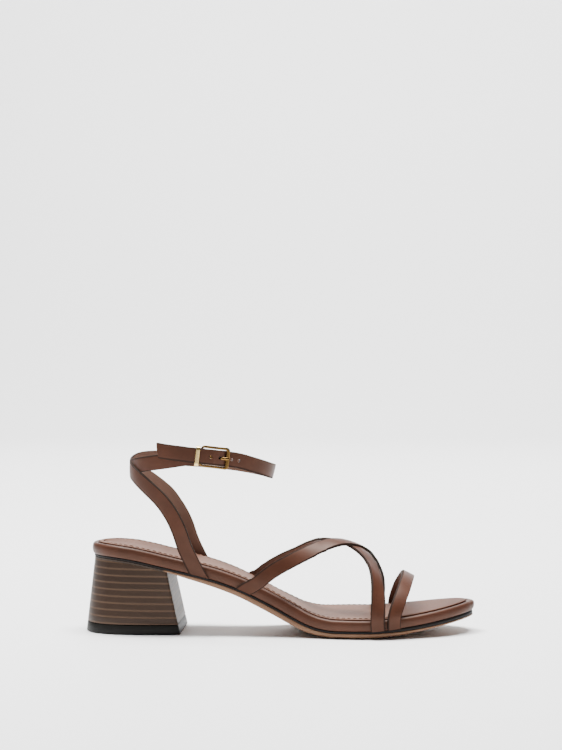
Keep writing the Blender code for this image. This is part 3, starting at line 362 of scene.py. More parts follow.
def monotone(knots: Array, values: Array, at: Array) -> Array:
    """Cubic through the knots that never overshoots, so that level rows stay level.

    Args:
        knots: Places of the rows, rising.
        values: Values of the rows.
        at: Places asked for.

    Returns:
        Values at those places.
    """
    knots = np.asarray(knots, float)
    values = np.asarray(values, float)
    at = np.clip(np.asarray(at, float), knots[0], knots[-1])
    step = np.diff(knots)
    rate = np.diff(values) / step
    slope = np.zeros_like(values)
    same = rate[:-1] * rate[1:] > 0
    near = 2 * step[1:] + step[:-1]
    far = step[1:] + 2 * step[:-1]
    safe = np.where(same, rate[:-1] * rate[1:], 1.0)
    mean = (near + far) * safe / np.where(same, near * rate[1:] + far * rate[:-1], 1.0)
    slope[1:-1] = np.where(same, mean, 0.0)
    slope[0] = ((2 * step[0] + step[1]) * rate[0] - step[0] * rate[1]) / (step[0] + step[1])
    slope[-1] = (2 * step[-1] + step[-2]) * rate[-1] - step[-1] * rate[-2]
    slope[-1] /= step[-1] + step[-2]
    slope[0] = 0.0 if rate[0] == 0 else slope[0]
    slope[-1] = 0.0 if rate[-1] == 0 else slope[-1]
    cell = np.clip(np.searchsorted(knots, at, side="right") - 1, 0, len(step) - 1)
    share = (at - knots[cell]) / step[cell]
    rest = 1 - share
    return (values[cell] * (1 + 2 * share) * rest**2
            + values[cell + 1] * (3 - 2 * share) * share**2
            + step[cell] * share * rest * (slope[cell] * rest - slope[cell + 1] * share))


def column(rows: Sequence[NamedTuple], name: str) -> Array:
    """One named column of a table, as an array."""
    return np.array([getattr(row, name) for row in rows])


def smoothstep(low: float, high: float, value: Array) -> Array:
    """Share from 0 at low to 1 at high, level at both ends."""
    share = np.clip((value - low) / (high - low), 0, 1)
    return share * share * (3 - 2 * share)


def unit(vectors: Array) -> Array:
    """Vectors scaled to length one along the last axis."""
    return vectors / np.maximum(np.linalg.norm(vectors, axis=-1, keepdims=True), 1e-12)


def run_along(points: Array) -> Array:
    """Length from the first point of a line to each of its points."""
    return np.concatenate(([0.0], np.cumsum(np.linalg.norm(np.diff(points, axis=0), axis=1))))


def spread(outer: Array, inner: Array, columns: int) -> Array:
    """Grid of points from the outer half of a ring across to its inner half."""
    return np.stack([outer + share * (inner - outer) for share in np.linspace(0, 1, columns)], axis=1)


def cells_of(index: Array) -> Array:
    """Corner numbers of the cells of a grid of point numbers, a row of four for each."""
    corners_of = (index[:-1, :-1], index[:-1, 1:], index[1:, 1:], index[1:, :-1])
    return np.stack(corners_of, axis=-1).reshape(-1, 4)


def added(name: str, data: bpy.types.ID) -> bpy.types.Object:
    """New object of some data, linked to the scene."""
    piece = bpy.data.objects.new(name, data)
    bpy.context.scene.collection.objects.link(piece)
    return piece


def standing(axes: Sequence[Vector], place: Vector) -> Matrix:
    """Matrix that stands a piece's own three axes along these directions at a place."""
    matrix = Matrix(axes).transposed().to_4x4()
    matrix.translation = place
    return matrix


@dataclass
class Workbench:
    """Turns grids of points into finished pieces that stand where the part stands."""

    shift: Array

    def mesh(self, name: str, points: Array, faces: Array, along: Optional[Array] = None,
             edge: Optional[Array] = None) -> bpy.types.Object:
        """Make an object from points and faces of four or three corners.

        Args:
            name: Name of the piece.
            points: Places of the vertices in the part's own frame.
            faces: Corner numbers of the faces, a row of four for each.
            along: Places of the vertices along and across the piece, kept as a UV map.
            edge: 1 for a vertex on a cut edge, 0 on the outer face and -1 on the lining.

        Returns:
            The new object, at the origin and linked to the scene.
        """
        data = bpy.data.meshes.new(name)
        rows = [tuple(dict.fromkeys(row)) for row in faces.tolist()]
        data.from_pydata((points + self.shift).tolist(), [], [row for row in rows if len(row) > 2])
        if along is not None:
            layer = data.uv_layers.new(name="strap")
            corners = np.zeros(len(data.loops), dtype=np.int32)
            data.loops.foreach_get("vertex_index", corners)
            layer.data.foreach_set("uv", along[corners].astype(np.float32).ravel())
        if edge is not None:
            layer = data.attributes.new("cut_edge", "FLOAT", "POINT")
            layer.data.foreach_set("value", edge.astype(np.float32))
        data.polygons.foreach_set("use_smooth", np.ones(len(data.polygons), dtype=bool))
        data.update()
        return added(name, data)

    def rings(self, name: str, halves: Sequence[tuple[Array, Array]], caps: Sequence[Array],
              sharp: float = 60.0) -> bpy.types.Object:
        """Closed solid of stacked rings, each an outer and an inner half, with two caps.

        Args:
            name: Name of the piece.
            halves: Outer and inner half of each ring, from the heel to the toe.
            caps: Grids that close the first and the last ring, from outer to inner.
            sharp: Angle in degrees above which an edge stays sharp.

        Returns:
            The new object.
        """
        loops = np.array([np.concatenate((outer, inner[::-1])) for outer, inner in halves])
        count, around = loops.shape[:2]
        index = np.arange(count * around).reshape(count, around)
        after = np.roll(index, -1, axis=1)
        walls = np.stack((index[:-1], after[:-1], after[1:], index[1:]), axis=-1).reshape(-1, 4)
        points = [loops.reshape(-1, 3)]
        faces = [walls]
        total = count * around
        for number, grid in enumerate(caps):
            rows, columns = grid.shape[:2]
            place = total + np.arange(rows * columns).reshape(rows, columns)
            faces.append(cells_of(place)[:, ::1 if number == 0 else -1])
            points.append(grid.reshape(-1, 3))
            total += rows * columns
        piece = self.mesh(name, np.concatenate(points), np.concatenate(faces))
        return self.welded(piece, sharp)

    def tube(self, name: str, grid: Array, closed: bool, along: Optional[Array] = None,
             edge: Optional[Array] = None, sharp: float = 50.0) -> bpy.types.Object:
        """Closed solid from a grid whose columns run round a profile and rows along a path.

        Args:
            name: Name of the piece.
            grid: Points, rows along the path and columns round the profile.
            closed: True where the path is a loop, False where its ends are capped.
            along: Places along and across for each point of the grid.
            edge: 1 for a point on a cut edge, 0 on the outer face and -1 on the lining.
            sharp: Angle in degrees above which an edge stays sharp.

        Returns:
            The new object.
        """
        rows, columns = grid.shape[:2]
        index = np.arange(rows * columns).reshape(rows, columns)
        ahead = np.roll(index, -1, axis=0) if closed else index[1:]
        here = index if closed else index[:-1]
        walls = np.stack((here, np.roll(here, -1, axis=1), np.roll(ahead, -1, axis=1), ahead), axis=-1)
        faces = [walls.reshape(-1, 4)]
        if not closed:
            half = columns // 2
            low = np.arange(half - 1)
            for row, order in ((index[0], -1), (index[-1], 1)):
                back = row[columns - 1 - low]
                cap = np.stack((row[low], row[low + 1], row[columns - 2 - low], back), axis=-1)
                faces.append(cap[:, ::order])
        uv = None if along is None else along.reshape(-1, 2)
        cut = None if edge is None else edge.reshape(-1)
        piece = self.mesh(name, grid.reshape(-1, 3), np.concatenate(faces), uv, cut)
        return self.welded(piece, sharp)

    @staticmethod
    def welded(piece: bpy.types.Object, sharp: float) -> bpy.types.Object:
        """Merge doubled points, turn the faces outwards and keep the sharp edges.

        Args:
            piece: Object to finish.
            sharp: Angle in degrees above which an edge stays sharp.

        Returns:
            The same object.
        """
        mesh = bmesh.new()
        mesh.from_mesh(piece.data)
        bmesh.ops.remove_doubles(mesh, verts=mesh.verts, dist=WELD_DISTANCE)
        bmesh.ops.dissolve_degenerate(mesh, dist=SLIVER, edges=mesh.edges)
        bmesh.ops.recalc_face_normals(mesh, faces=mesh.faces)
        mesh.to_mesh(piece.data)
        mesh.free()
        piece.data.set_sharp_from_angle(angle=radians(sharp))
        return piece


@dataclass
class SoleForm:
    """The form under and over the foot: outline, feather surface, layers and last."""

    strips: int = 150
    section_points: int = 160

    def station(self, x: Array) -> Array:
        """Share of the sole's length at x, kept on the sole."""
        return np.clip(np.asarray(x, float) / SOLE_LENGTH, 0.0, 1.0)

    def half_width(self, x: Array) -> Array:
        """Half the width of the feather outline: the plan table over the turn of x."""
        knots = np.arccos(1 - 2 * column(PLAN_ROWS, "station"))
        halves = column(PLAN_ROWS, "half") * column(PLAN_ROWS, "width") / 2
        return monotone(knots, halves, np.arccos(1 - 2 * self.station(x)))

    def centre_line(self, x: Array) -> Array:
        """How far the outline's middle lies towards the inner side."""
        skews = column(PLAN_ROWS, "skew") * BALL_WIDTH / 2
        return monotone(column(PLAN_ROWS, "station"), skews, self.station(x))

    def layer(self, name: str, size: float, x: Array) -> Array:
        """A layer's size: its named size times its column of the layer table."""
        knots, shares = column(LAYER_ROWS, "station"), column(LAYER_ROWS, name)
        return size * monotone(knots, shares, self.station(x))

    def height(self, x: Array, y: Array) -> Array:
        """Height of the feather surface: tread plus rise plus spring less the cant across.

        Args:
            x: Places along the foot.
            y: Places across the foot.

        Returns:
            Heights over the floor.
        """
        tread = OUTSOLE_THICKNESS + MIDSOLE_THICKNESS + 2 * FIT
        stations = column(HEIGHT_ROWS, "station")
        at = self.station(x)
        rise = (SEAT_HEIGHT - tread) * monotone(stations, column(HEIGHT_ROWS, "rise"), at)
        spring = TOE_SPRING * monotone(stations, column(HEIGHT_ROWS, "spring"), at)
        cant = WAIST_CANT * monotone(stations, column(HEIGHT_ROWS, "cant"), at)
        across = (y - self.centre_line(x)) / np.maximum(self.half_width(x), WAIST_WIDTH / 4)
        return tread + rise + spring - cant * (1 + np.clip(across, -1.3, 1.3)) / 2

    def over(self, x: Array, y: Array, height: Array) -> Array:
        """Points that lie height above the feather surface, measured square to it.

        Args:
            x: Places along the foot.
            y: Places across the foot.
            height: Heights over the feather surface.

        Returns:
            Points, with the coordinates along the last axis.
        """
        slope = (self.height(x + SOLE_NUDGE, y) - self.height(x - SOLE_NUDGE, y)) / (2 * SOLE_NUDGE)
        level = np.sqrt(1 + slope**2)
        z = self.height(x, y) + height / level
        return np.stack((x - height * slope / level, y + 0 * x, z), axis=-1)

    def outline(self, inset: float) -> tuple[Array, Array]:
        """Outer and inner halves of the outline from heel to toe, moved in by an inset.

        Args:
            inset: How far the outline is moved in, square to itself.

        Returns:
            The two halves, each an array of x and y.
        """
        turn = np.linspace(0, pi, self.strips + 1)
        turn = turn + MIDDLE_CROWDING * np.sin(2 * turn) / 2
        x = SOLE_LENGTH * (1 - np.cos(turn)) / 2
        outer = np.stack((x, self.centre_line(x) - self.half_width(x)), axis=-1)
        inner = np.stack((x, self.centre_line(x) + self.half_width(x)), axis=-1)
        loop = np.concatenate((outer, inner[-2:0:-1]))
        along = unit(np.roll(loop, -2, axis=0) - np.roll(loop, 2, axis=0))
        moved = loop + inset * np.stack((-along[:, 1], along[:, 0]), axis=-1)
        return moved[:self.strips + 1], np.concatenate((moved[:1], moved[:self.strips - 1:-1]))

    def rim_top(self, x: Array) -> Array:
        """Height of the footbed's rim over the feather surface."""
        return self.layer("rim", RIM_HEIGHT, x)

    def midsole_bottom(self, x: Array) -> Array:
        """Depth of the midsole's underside below the feather surface."""
        return -FIT - self.layer("midsole", MIDSOLE_THICKNESS, x)

    def outsole_bottom(self, x: Array) -> Array:
        """Depth of the outsole's underside below the feather surface."""
        return self.midsole_bottom(x) - FIT - self.layer("outsole", OUTSOLE_THICKNESS, x)

    def last_grid(self, stations: Array, turns: Array) -> Array:
        """Grid of the last: sections of a rounded arch over the rim, shared out by length.

        Args:
            stations: Places along the foot, one for each row.
            turns: Shares of each section's length from the outer to the inner side.

        Returns:
            Points, a row for each station and a column for each turn.
        """
        share = np.linspace(0, 1, self.section_points)
        power = 2 / SECTION_POWER
        across = (1 - np.sign(np.cos(pi * share)) * np.abs(np.cos(pi * share))**power) / 2
        arch_rise = np.sin(pi * share)**power
        knots, crests = column(CREST_ROWS, "station"), column(CREST_ROWS, "crest")
        rows = []
        for x in stations:
            wider, narrower = self.half_width(x + SOLE_NUDGE), self.half_width(x - SOLE_NUDGE)
            slope = (wider - narrower) / (2 * SOLE_NUDGE)
            reach = self.half_width(x) + (RIM_BULGE + FIT) * (1 + slope**2)**0.5
            levels = np.linspace(0, 1, 5) * self.rim_top(x)
            ones = np.ones(5)
            outer = self.over(x * ones, (self.centre_line(x) - reach) * ones, levels)
            inner = self.over(x * ones, (self.centre_line(x) + reach) * ones, levels)
            crest = INSTEP_HEIGHT * monotone(knots, crests, self.station(x))
            arch = outer[-1] + across[:, None] * (inner[-1] - outer[-1])
            arch[:, 2] += crest * arch_rise
            section = np.concatenate((outer[:-1], arch, inner[-2::-1]))
            run = run_along(section)
            asked = turns * run[-1]
            inside = np.clip(asked, 0, run[-1])
            point = np.stack([np.interp(inside, run, section[:, axis]) for axis in range(3)], axis=-1)
            point[:, 2] -= np.abs(asked - inside)
            rows.append(point)
        return np.array(rows)


@dataclass
class Form:
    """A surface that straps lie on: points and outward directions for two parameters."""

    place: Callable[[Array, Array], Array]
    nudges: tuple[float, float]

    def frame(self, first: Array, second: Array) -> tuple[Array, Array, Array]:
        """Points, and the changes with each of the two parameters.

        Args:
            first: First parameter.
            second: Second parameter.

        Returns:
            Points, change with the first and change with the second parameter.
        """
        step, rise = self.nudges
        by_first = (self.place(first + step, second) - self.place(first - step, second)) / (2 * step)
        by_second = (self.place(first, second + rise) - self.place(first, second - rise)) / (2 * rise)
        return self.place(first, second), by_first, by_second


def last_form(sole: SoleForm) -> Form:
    """Form of the last, read from a fine grid by straight steps between its points.

    Args:
        sole: The sole's form.

    Returns:
        Form whose parameters are the place along the foot and the turn.
    """
    stations = np.linspace(*LAST_STATIONS) * SOLE_LENGTH
    turns = np.linspace(*LAST_TURNS)
    grid = sole.last_grid(stations, turns)

    def place(x: Array, turn: Array) -> Array:
        """Point of the last at a place along the foot and a turn."""
        row = np.clip((x - stations[0]) / (stations[1] - stations[0]), 0, len(stations) - 1.001)
        col = np.clip((turn - turns[0]) / (turns[1] - turns[0]), 0, len(turns) - 1.001)
        i, j = row.astype(int), col.astype(int)
        a, b = (row - i)[..., None], (col - j)[..., None]
        return ((1 - a) * ((1 - b) * grid[i, j] + b * grid[i, j + 1])
                + a * ((1 - b) * grid[i + 1, j] + b * grid[i + 1, j + 1]))

    return Form(place, LAST_NUDGES)


def leg_form(sole: SoleForm) -> Form:
    """Form round the leg: an oval that eases into the wall of the footbed's rim.

    Args:
        sole: The sole's form.

    Returns:
        Form whose parameters are the angle round the leg and the height.
    """
    def place(angle: Array, height: Array) -> Array:
        """Point of the leg at an angle and a height."""
        x = ANKLE_BACK + ANKLE_LENGTH / 2 * (1 + np.cos(angle))
        x = x + ANKLE_FRONT_LEAN * np.maximum(np.cos(angle), 0)**2 * (height - ANKLE_HEIGHT)
        side = np.where(np.sin(angle) > 0, 1.0, -1.0)
        oval = ANKLE_WIDTH / 2 * np.sin(angle)
        rim = sole.centre_line(x) + side * (sole.half_width(x) + RIM_BULGE + FIT)
        level = sole.height(x, rim) + RIM_HEIGHT
        ease = smoothstep(0, 1, (height - level) / (ANKLE_HEIGHT / 4))
        ease = np.where(np.abs(np.sin(angle)) > 0.5, ease, 1.0)
        return np.stack((x, rim + ease * (oval - rim), height + 0 * angle), axis=-1)

    return Form(place, LEG_NUDGES)


def smooth_rows(values: Array, share: Array) -> Array:
    """Smooth curve through equally spaced rows, each bend shaped by its neighbours.

    Args:
        values: Values of the rows.
        share: Shares of the way from the first to the last row.

    Returns:
        Values at those shares.
    """
    place = np.clip(share, 0, 1) * (len(values) - 1)
    cell = np.minimum(place.astype(int), len(values) - 2)
    part = place - cell
    before, here = values[np.maximum(cell - 1, 0)], values[cell]
    there, after = values[cell + 1], values[np.minimum(cell + 2, len(values) - 1)]
    return here + part / 2 * (there - before + part * (
        2 * before - 5 * here + 4 * there - after + part * (3 * (here - there) + after - before)))


@dataclass
class Strap:
    """A leather strap that follows a path over a form.

    The path's rows give both parameters of the form, the lift and the lean across. The
    section has a slightly crowned outer face, rounded corners and straight cut edges.
    """

    name: str
    form: Form
    sole: SoleForm
    firsts: Array
    seconds: Array
    lifts: Array
    leans: Array
    width: float
    rows: int = 260
    start_trimmed: bool = True
    end_trimmed: bool = True
    slant: float = 0.0
    crown: float = 0.00012
    corner: float = 0.00042
    root_taper: float = 0.014
    root_share: float = 0.62
    columns: int = 9
    probe: float = 0.002

    def spot(self, shares: Array) -> Array:
        """Points of the form under the strap's centre line."""
        return self.form.place(smooth_rows(self.firsts, shares), smooth_rows(self.seconds, shares))

    def middle(self) -> tuple[Array, Array, Array, Array]:
        """Grid of the strap's inner face, with its frames along the centre line.

        Returns:
            Inner face as rows by columns, centres, directions along, and normals.
        """
        shares = np.linspace(0, 1, self.rows)
        knots = np.linspace(0, 1, len(self.lifts))
        first, second = smooth_rows(self.firsts, shares), smooth_rows(self.seconds, shares)
        lift = monotone(knots, self.lifts, shares)
        lean = monotone(knots, self.leans, shares)
        ahead, behind = np.minimum(shares + self.probe, 1), np.maximum(shares - self.probe, 0)
        point, by_first, by_second = self.form.frame(first, second)
        normal = unit(np.cross(by_first, by_second))
        along = unit(self.spot(ahead) - self.spot(behind))
        side = unit(np.cross(normal, along))
        offsets = np.linspace(-self.width / 2, self.width / 2, self.columns)
        basis = np.stack((by_first, by_second), axis=-1)
        shift = np.array([np.linalg.lstsq(pair, across, rcond=None)[0]
                          for pair, across in zip(basis, side)])
        raised = (lift * (STRAP_THICKNESS + FIT))[:, None, None] * normal[:, None, :]
        tipped = (lean[:, None] * offsets)[..., None] * normal[:, None, :]
        spots = self.form.place(first[:, None] + offsets * shift[:, :1],
                                second[:, None] + offsets * shift[:, 1:])
        clear = spots[..., 2] - self.sole.height(spots[..., 0], spots[..., 1])
        lifted = spots + raised + tipped
        grid = np.zeros_like(lifted)
        for step, offset in enumerate(offsets):
            start, end = 0.0, 1.0
            if self.start_trimmed:
                start = self.crossing(shares, clear[:, step], int(np.argmax(clear[:, step] > 0)))
            if self.end_trimmed:
                end = self.crossing(shares, clear[:, step],
                                    self.rows - int(np.argmax(clear[::-1, step] > 0)))
            end -= self.slant * (0.5 + offset / self.width)
            places = start + shares * (end - start)
            for axis in range(3):
                grid[:, step, axis] = np.interp(places, shares, lifted[:, step, axis])
        centre = point + raised[:, 0]
        return grid, centre, along, normal

    @staticmethod
    def crossing(shares: Array, clear: Array, index: int) -> float:
        """Share at which the clearance changes sign between two samples."""
        low, high = clear[index - 1], clear[index]
        return shares[index - 1] + (shares[index] - shares[index - 1]) * low / (low - high)

    def build(self, bench: Workbench) -> bpy.types.Object:
        """Carry the section along the strap.

        Section: offset across from edge to edge on the inner face, and back on the
        outer face, whose height is thickness plus crown times one less the square of
        the share across, less a round corner near the edge.

        Args:
            bench: Workbench that makes the mesh.

        Returns:
            The strap's object.
        """
        grid, _, _, _ = self.middle()
        run = run_along(grid[:, self.columns // 2])
        tangent_along = unit(np.gradient(grid, axis=0))
        tangent_across = unit(np.gradient(grid, axis=1))
        normal = unit(np.cross(tangent_along, tangent_across))
        level = np.ones(self.rows)
        for trimmed, away in ((self.start_trimmed, run), (self.end_trimmed, run[-1] - run)):
            if trimmed:
                swelling = smoothstep(0, self.root_taper, away)
                level = np.minimum(level, self.root_share + (1 - self.root_share) * swelling)
        across, height, edge = self.section()
        place = (across / self.width + 0.5) * (self.columns - 1)
        cell = np.minimum(place.astype(int), self.columns - 2)
        part = (place - cell)[None, :, None]
        base = (1 - part) * grid[:, cell] + part * grid[:, cell + 1]
        lean = unit((1 - part) * normal[:, cell] + part * normal[:, cell + 1])
        outward = -lean if self.flipped(lean, base) else lean
        points = base + outward * (height[None, :] * level[:, None])[..., None]
        uv = np.stack(np.broadcast_arrays(run[:, None], across[None, :]), axis=-1)
        cut = np.broadcast_to(np.where((height < 1e-6) & (edge < 0.5), -1.0, edge), points.shape[:2])
        return bench.tube(self.name, points, False, uv, cut, sharp=60.0)

    def flipped(self, lean: Array, base: Array) -> bool:
        """True where the grid's normals point at the foot instead of away from it."""
        centre = base.mean(axis=(0, 1))
        centre[2] = min(centre[2], base[..., 2].mean())
        return float(np.sum(lean * (base - centre))) < 0

    def section(self) -> tuple[Array, Array, Array]:
        """Offsets across, heights and edge shares round the section.

        Returns:
            Three arrays that run once round the section from the inner face.
        """
        half, corner, thick = self.width / 2, self.corner, STRAP_THICKNESS
        flat = np.linspace(-half + corner, half - corner, 9)
        angles = np.linspace(0, pi / 2, 4)[1:]
        by_sine, by_cosine = corner * (1 - np.sin(angles)), corner * (1 - np.cos(angles))
        inner_corner = np.stack((half - by_sine / 2, by_cosine / 2), axis=-1)
        outer_corner = np.stack((half - by_cosine, thick - by_sine), axis=-1)
        bottom = np.stack((flat, 0 * flat), axis=-1)
        crown = self.crown * (1 - (flat[::-1] / half)**2)
        top = np.stack((flat[::-1], thick + crown), axis=-1)
        left = outer_corner[::-1] * (-1, 1), inner_corner[::-1] * (-1, 1)
        loop = np.concatenate((bottom, inner_corner, outer_corner, top[1:], *left))
        edge = np.concatenate((np.zeros(9), np.ones(6), np.zeros(8), np.ones(6)))
        return loop[:, 0], loop[:, 1], edge


@dataclass
class Sole:
    """Outsole, midsole, leather-wrapped footbed and the sock lining with its stitching."""

    form: SoleForm
    sharp: float = 70.0
    cap_columns: int = 17
    stitch_pitch: float = 0.0034
    stitch_length: float = 0.0023
    stitch_radius: float = 0.00029
    stitch_inset: float = 0.0026
    probe: float = 0.0005
    front: float = 0.80

    def layered(self, bench: Workbench, name: str, insets: Array,
                heights: Callable[[int, Array], Array], cup: float = 0.0) -> bpy.types.Object:
        """A layer whose wall is a profile carried round the outline.

        Args:
            bench: Workbench that makes the mesh.
            name: Name of the piece.
            insets: Inset of each row of the profile, from the bottom to the top.
            heights: Height over the feather surface for a row number and places x.
            cup: How deep the top sinks along the middle of the seat, in metres.

        Returns:
            The layer's object.
        """
        halves = []
        for row, inset in enumerate(insets):
            pair = self.form.outline(float(inset))
            halves.append(tuple(self.form.over(half[:, 0], half[:, 1], heights(row, half[:, 0]))
                                for half in pair))
        caps = []
        across = 1 - (2 * np.linspace(0, 1, self.cap_columns) - 1)**2
        for row in (0, len(insets) - 1):
            grid = spread(*self.form.outline(float(insets[row])), self.cap_columns)
            x = grid[..., 0]
            depth = self.form.layer("cup", cup, x) * across * (row > 0)
            caps.append(self.form.over(x, grid[..., 1], heights(row, x) - depth))
        return bench.rings(name, halves, caps, self.sharp)

    def footbed(self, bench: Workbench) -> bpy.types.Object:
        """Wrapped rim: the edge rows smoothed into a round leather-covered wall."""
        knots = np.linspace(0, 1, len(FOOTBED_EDGE))
        fine = np.linspace(0, 1, 33)
        insets = monotone(knots, column(FOOTBED_EDGE, "inset"), fine)
        levels = monotone(knots, column(FOOTBED_EDGE, "level"), fine)
        return self.layered(bench, "footbed_leather", insets,
                            lambda row, x: levels[row] * self.form.rim_top(x), SEAT_CUP)

    def sock_height(self, x: Array) -> Array:
        """Height of the sock lining's underside over the feather surface."""
        return FOOTBED_EDGE[-1].level * self.form.rim_top(x) + FIT

    def sock(self, bench: Workbench) -> bpy.types.Object:
        """Sock lining: a thin sheet with a rolled edge, a pressed line and a soft middle."""
        insets = SOCK_INSET + np.array([0.3, 0.0, 0.0, 0.12, 0.5, 1.0, 1.35, 1.7, 2.4]) / 1000
        levels = np.array([0.0, 0.3, 0.7, 0.92, 1.0, 0.98, 0.80, 0.98, 1.0])
        return self.layered(bench, "sock_leather", insets,
                            lambda row, x: self.sock_height(x) + levels[row] * SOCK_THICKNESS, SEAT_CUP)

    def midsole(self, bench: Workbench) -> bpy.types.Object:
        """Black line between the footbed and the outsole, pulled in a little."""
        insets = np.array([1.0, 0.55, 0.45, 0.55, 0.9]) / 1000
        levels = np.array([0.0, 0.12, 0.5, 0.88, 1.0])
        bottom = self.form.midsole_bottom
        return self.layered(bench, "midsole_edge", insets,
                            lambda row, x: bottom(x) + levels[row] * (-FIT / 3 - bottom(x)))

    def outsole(self, bench: Workbench) -> bpy.types.Object:
        """Outsole with its lower edge rounded off the floor and a crisp upper edge."""
        insets = np.array([7.0, 5.2, 3.4, 2.1, 1.3, 0.85, 0.62, 0.6, 0.75]) / 1000
        lifts = np.array([0.0, 0.03, 0.14, 0.38, 0.68, 0.95, 1.15, 0.0, 0.0])
        top_shares = np.array([0.0, 0.0, 0.0, 0.0, 0.0, 0.06, 0.2, 0.9, 1.0])

        def heights(row: int, x: Array) -> Array:
            """Lifted underside, then shares of the way to the top."""
            raised = lifts[row] * self.form.layer("edge_lift", OUTSOLE_EDGE_LIFT, x)
            low = self.form.outsole_bottom(x) + raised
            top = self.form.midsole_bottom(x) - FIT / 2
            return low + top_shares[row] * (top - low)

        return self.layered(bench, "outsole_edge", insets, heights)

    def stitching(self, bench: Workbench) -> bpy.types.Object:
        """Dashed stitching: one short rounded bar for each stitch round the sock.

        A bar is a tube whose radius is the root of one less the square of the share
        along it, laid along the outline at equal steps.

        Args:
            bench: Workbench that makes the mesh.

        Returns:
            All the stitches as one object.
        """
        outer, inner = self.form.outline(SOCK_INSET + self.stitch_inset)
        loop = np.concatenate((outer, inner[-2:0:-1]))
        loop = np.concatenate((loop, loop[:1]))
        run = run_along(loop)
        count = int(run[-1] / self.stitch_pitch)
        places = (np.arange(count) + 0.5) * run[-1] / count
        places = places[np.interp(places, run, loop[:, 0]) < self.front * SOLE_LENGTH]
        count = len(places)
        steps = np.array([-1.0, -0.85, -0.5, 0.0, 0.5, 0.85, 1.0])
        swell = np.sqrt(np.maximum(1 - steps**2, 0.0))
        swell[[0, -1]] = 0.12
        angles = np.arange(6) * pi / 3
        at = places[:, None] + steps * self.stitch_length / 2

        def spot(asked: Array) -> Array:
            """Points of the stitched line at lengths along it."""
            return np.stack([np.interp(asked, run, loop[:, axis], period=run[-1]) for axis in (0, 1)], -1)

        x, y = np.moveaxis(spot(at), -1, 0)
        heading = unit(spot(places + self.probe) - spot(places))
        half = self.form.half_width(x)
        rim = SOCK_INSET + self.stitch_inset - 0.0002
        across = np.clip((y - self.form.centre_line(x)) / np.maximum(half - rim, 0.002), -1, 1)
        depth = self.form.layer("cup", SEAT_CUP, x) * (1 - across**2)
        top = self.sock_height(x) + SOCK_THICKNESS - depth + 0.35 * self.stitch_radius
        centre = self.form.over(x, y, top)
        sideways = np.stack((-heading[:, 1], heading[:, 0], np.zeros(count)), axis=-1)
        sideways = sideways[:, None, None, :]
        upward = np.array([0.0, 0.0, 1.0])
        radius = (self.stitch_radius * swell)[None, :, None, None]
        ring = (1.25 * np.cos(angles)[None, None, :, None] * sideways
                + np.sin(angles)[None, None, :, None] * upward)
        points = centre[:, :, None, :] + radius * ring
        index = np.arange(points[..., 0].size).reshape(points.shape[:3])
        after = np.roll(index, -1, axis=2)
        walls = np.stack((index[:, :-1], after[:, :-1], after[:, 1:], index[:, 1:]), axis=-1)
        walls = walls.reshape(-1, 4)
        ends = np.concatenate([index[:, end][:, corner] for end in (0, -1)
                               for corner in ([0, 1, 2, 3], [3, 4, 5, 0])])
        piece = bench.mesh("sock_stitching", points.reshape(-1, 3), np.concatenate((walls, ends)))
        return bench.welded(piece, 80.0)


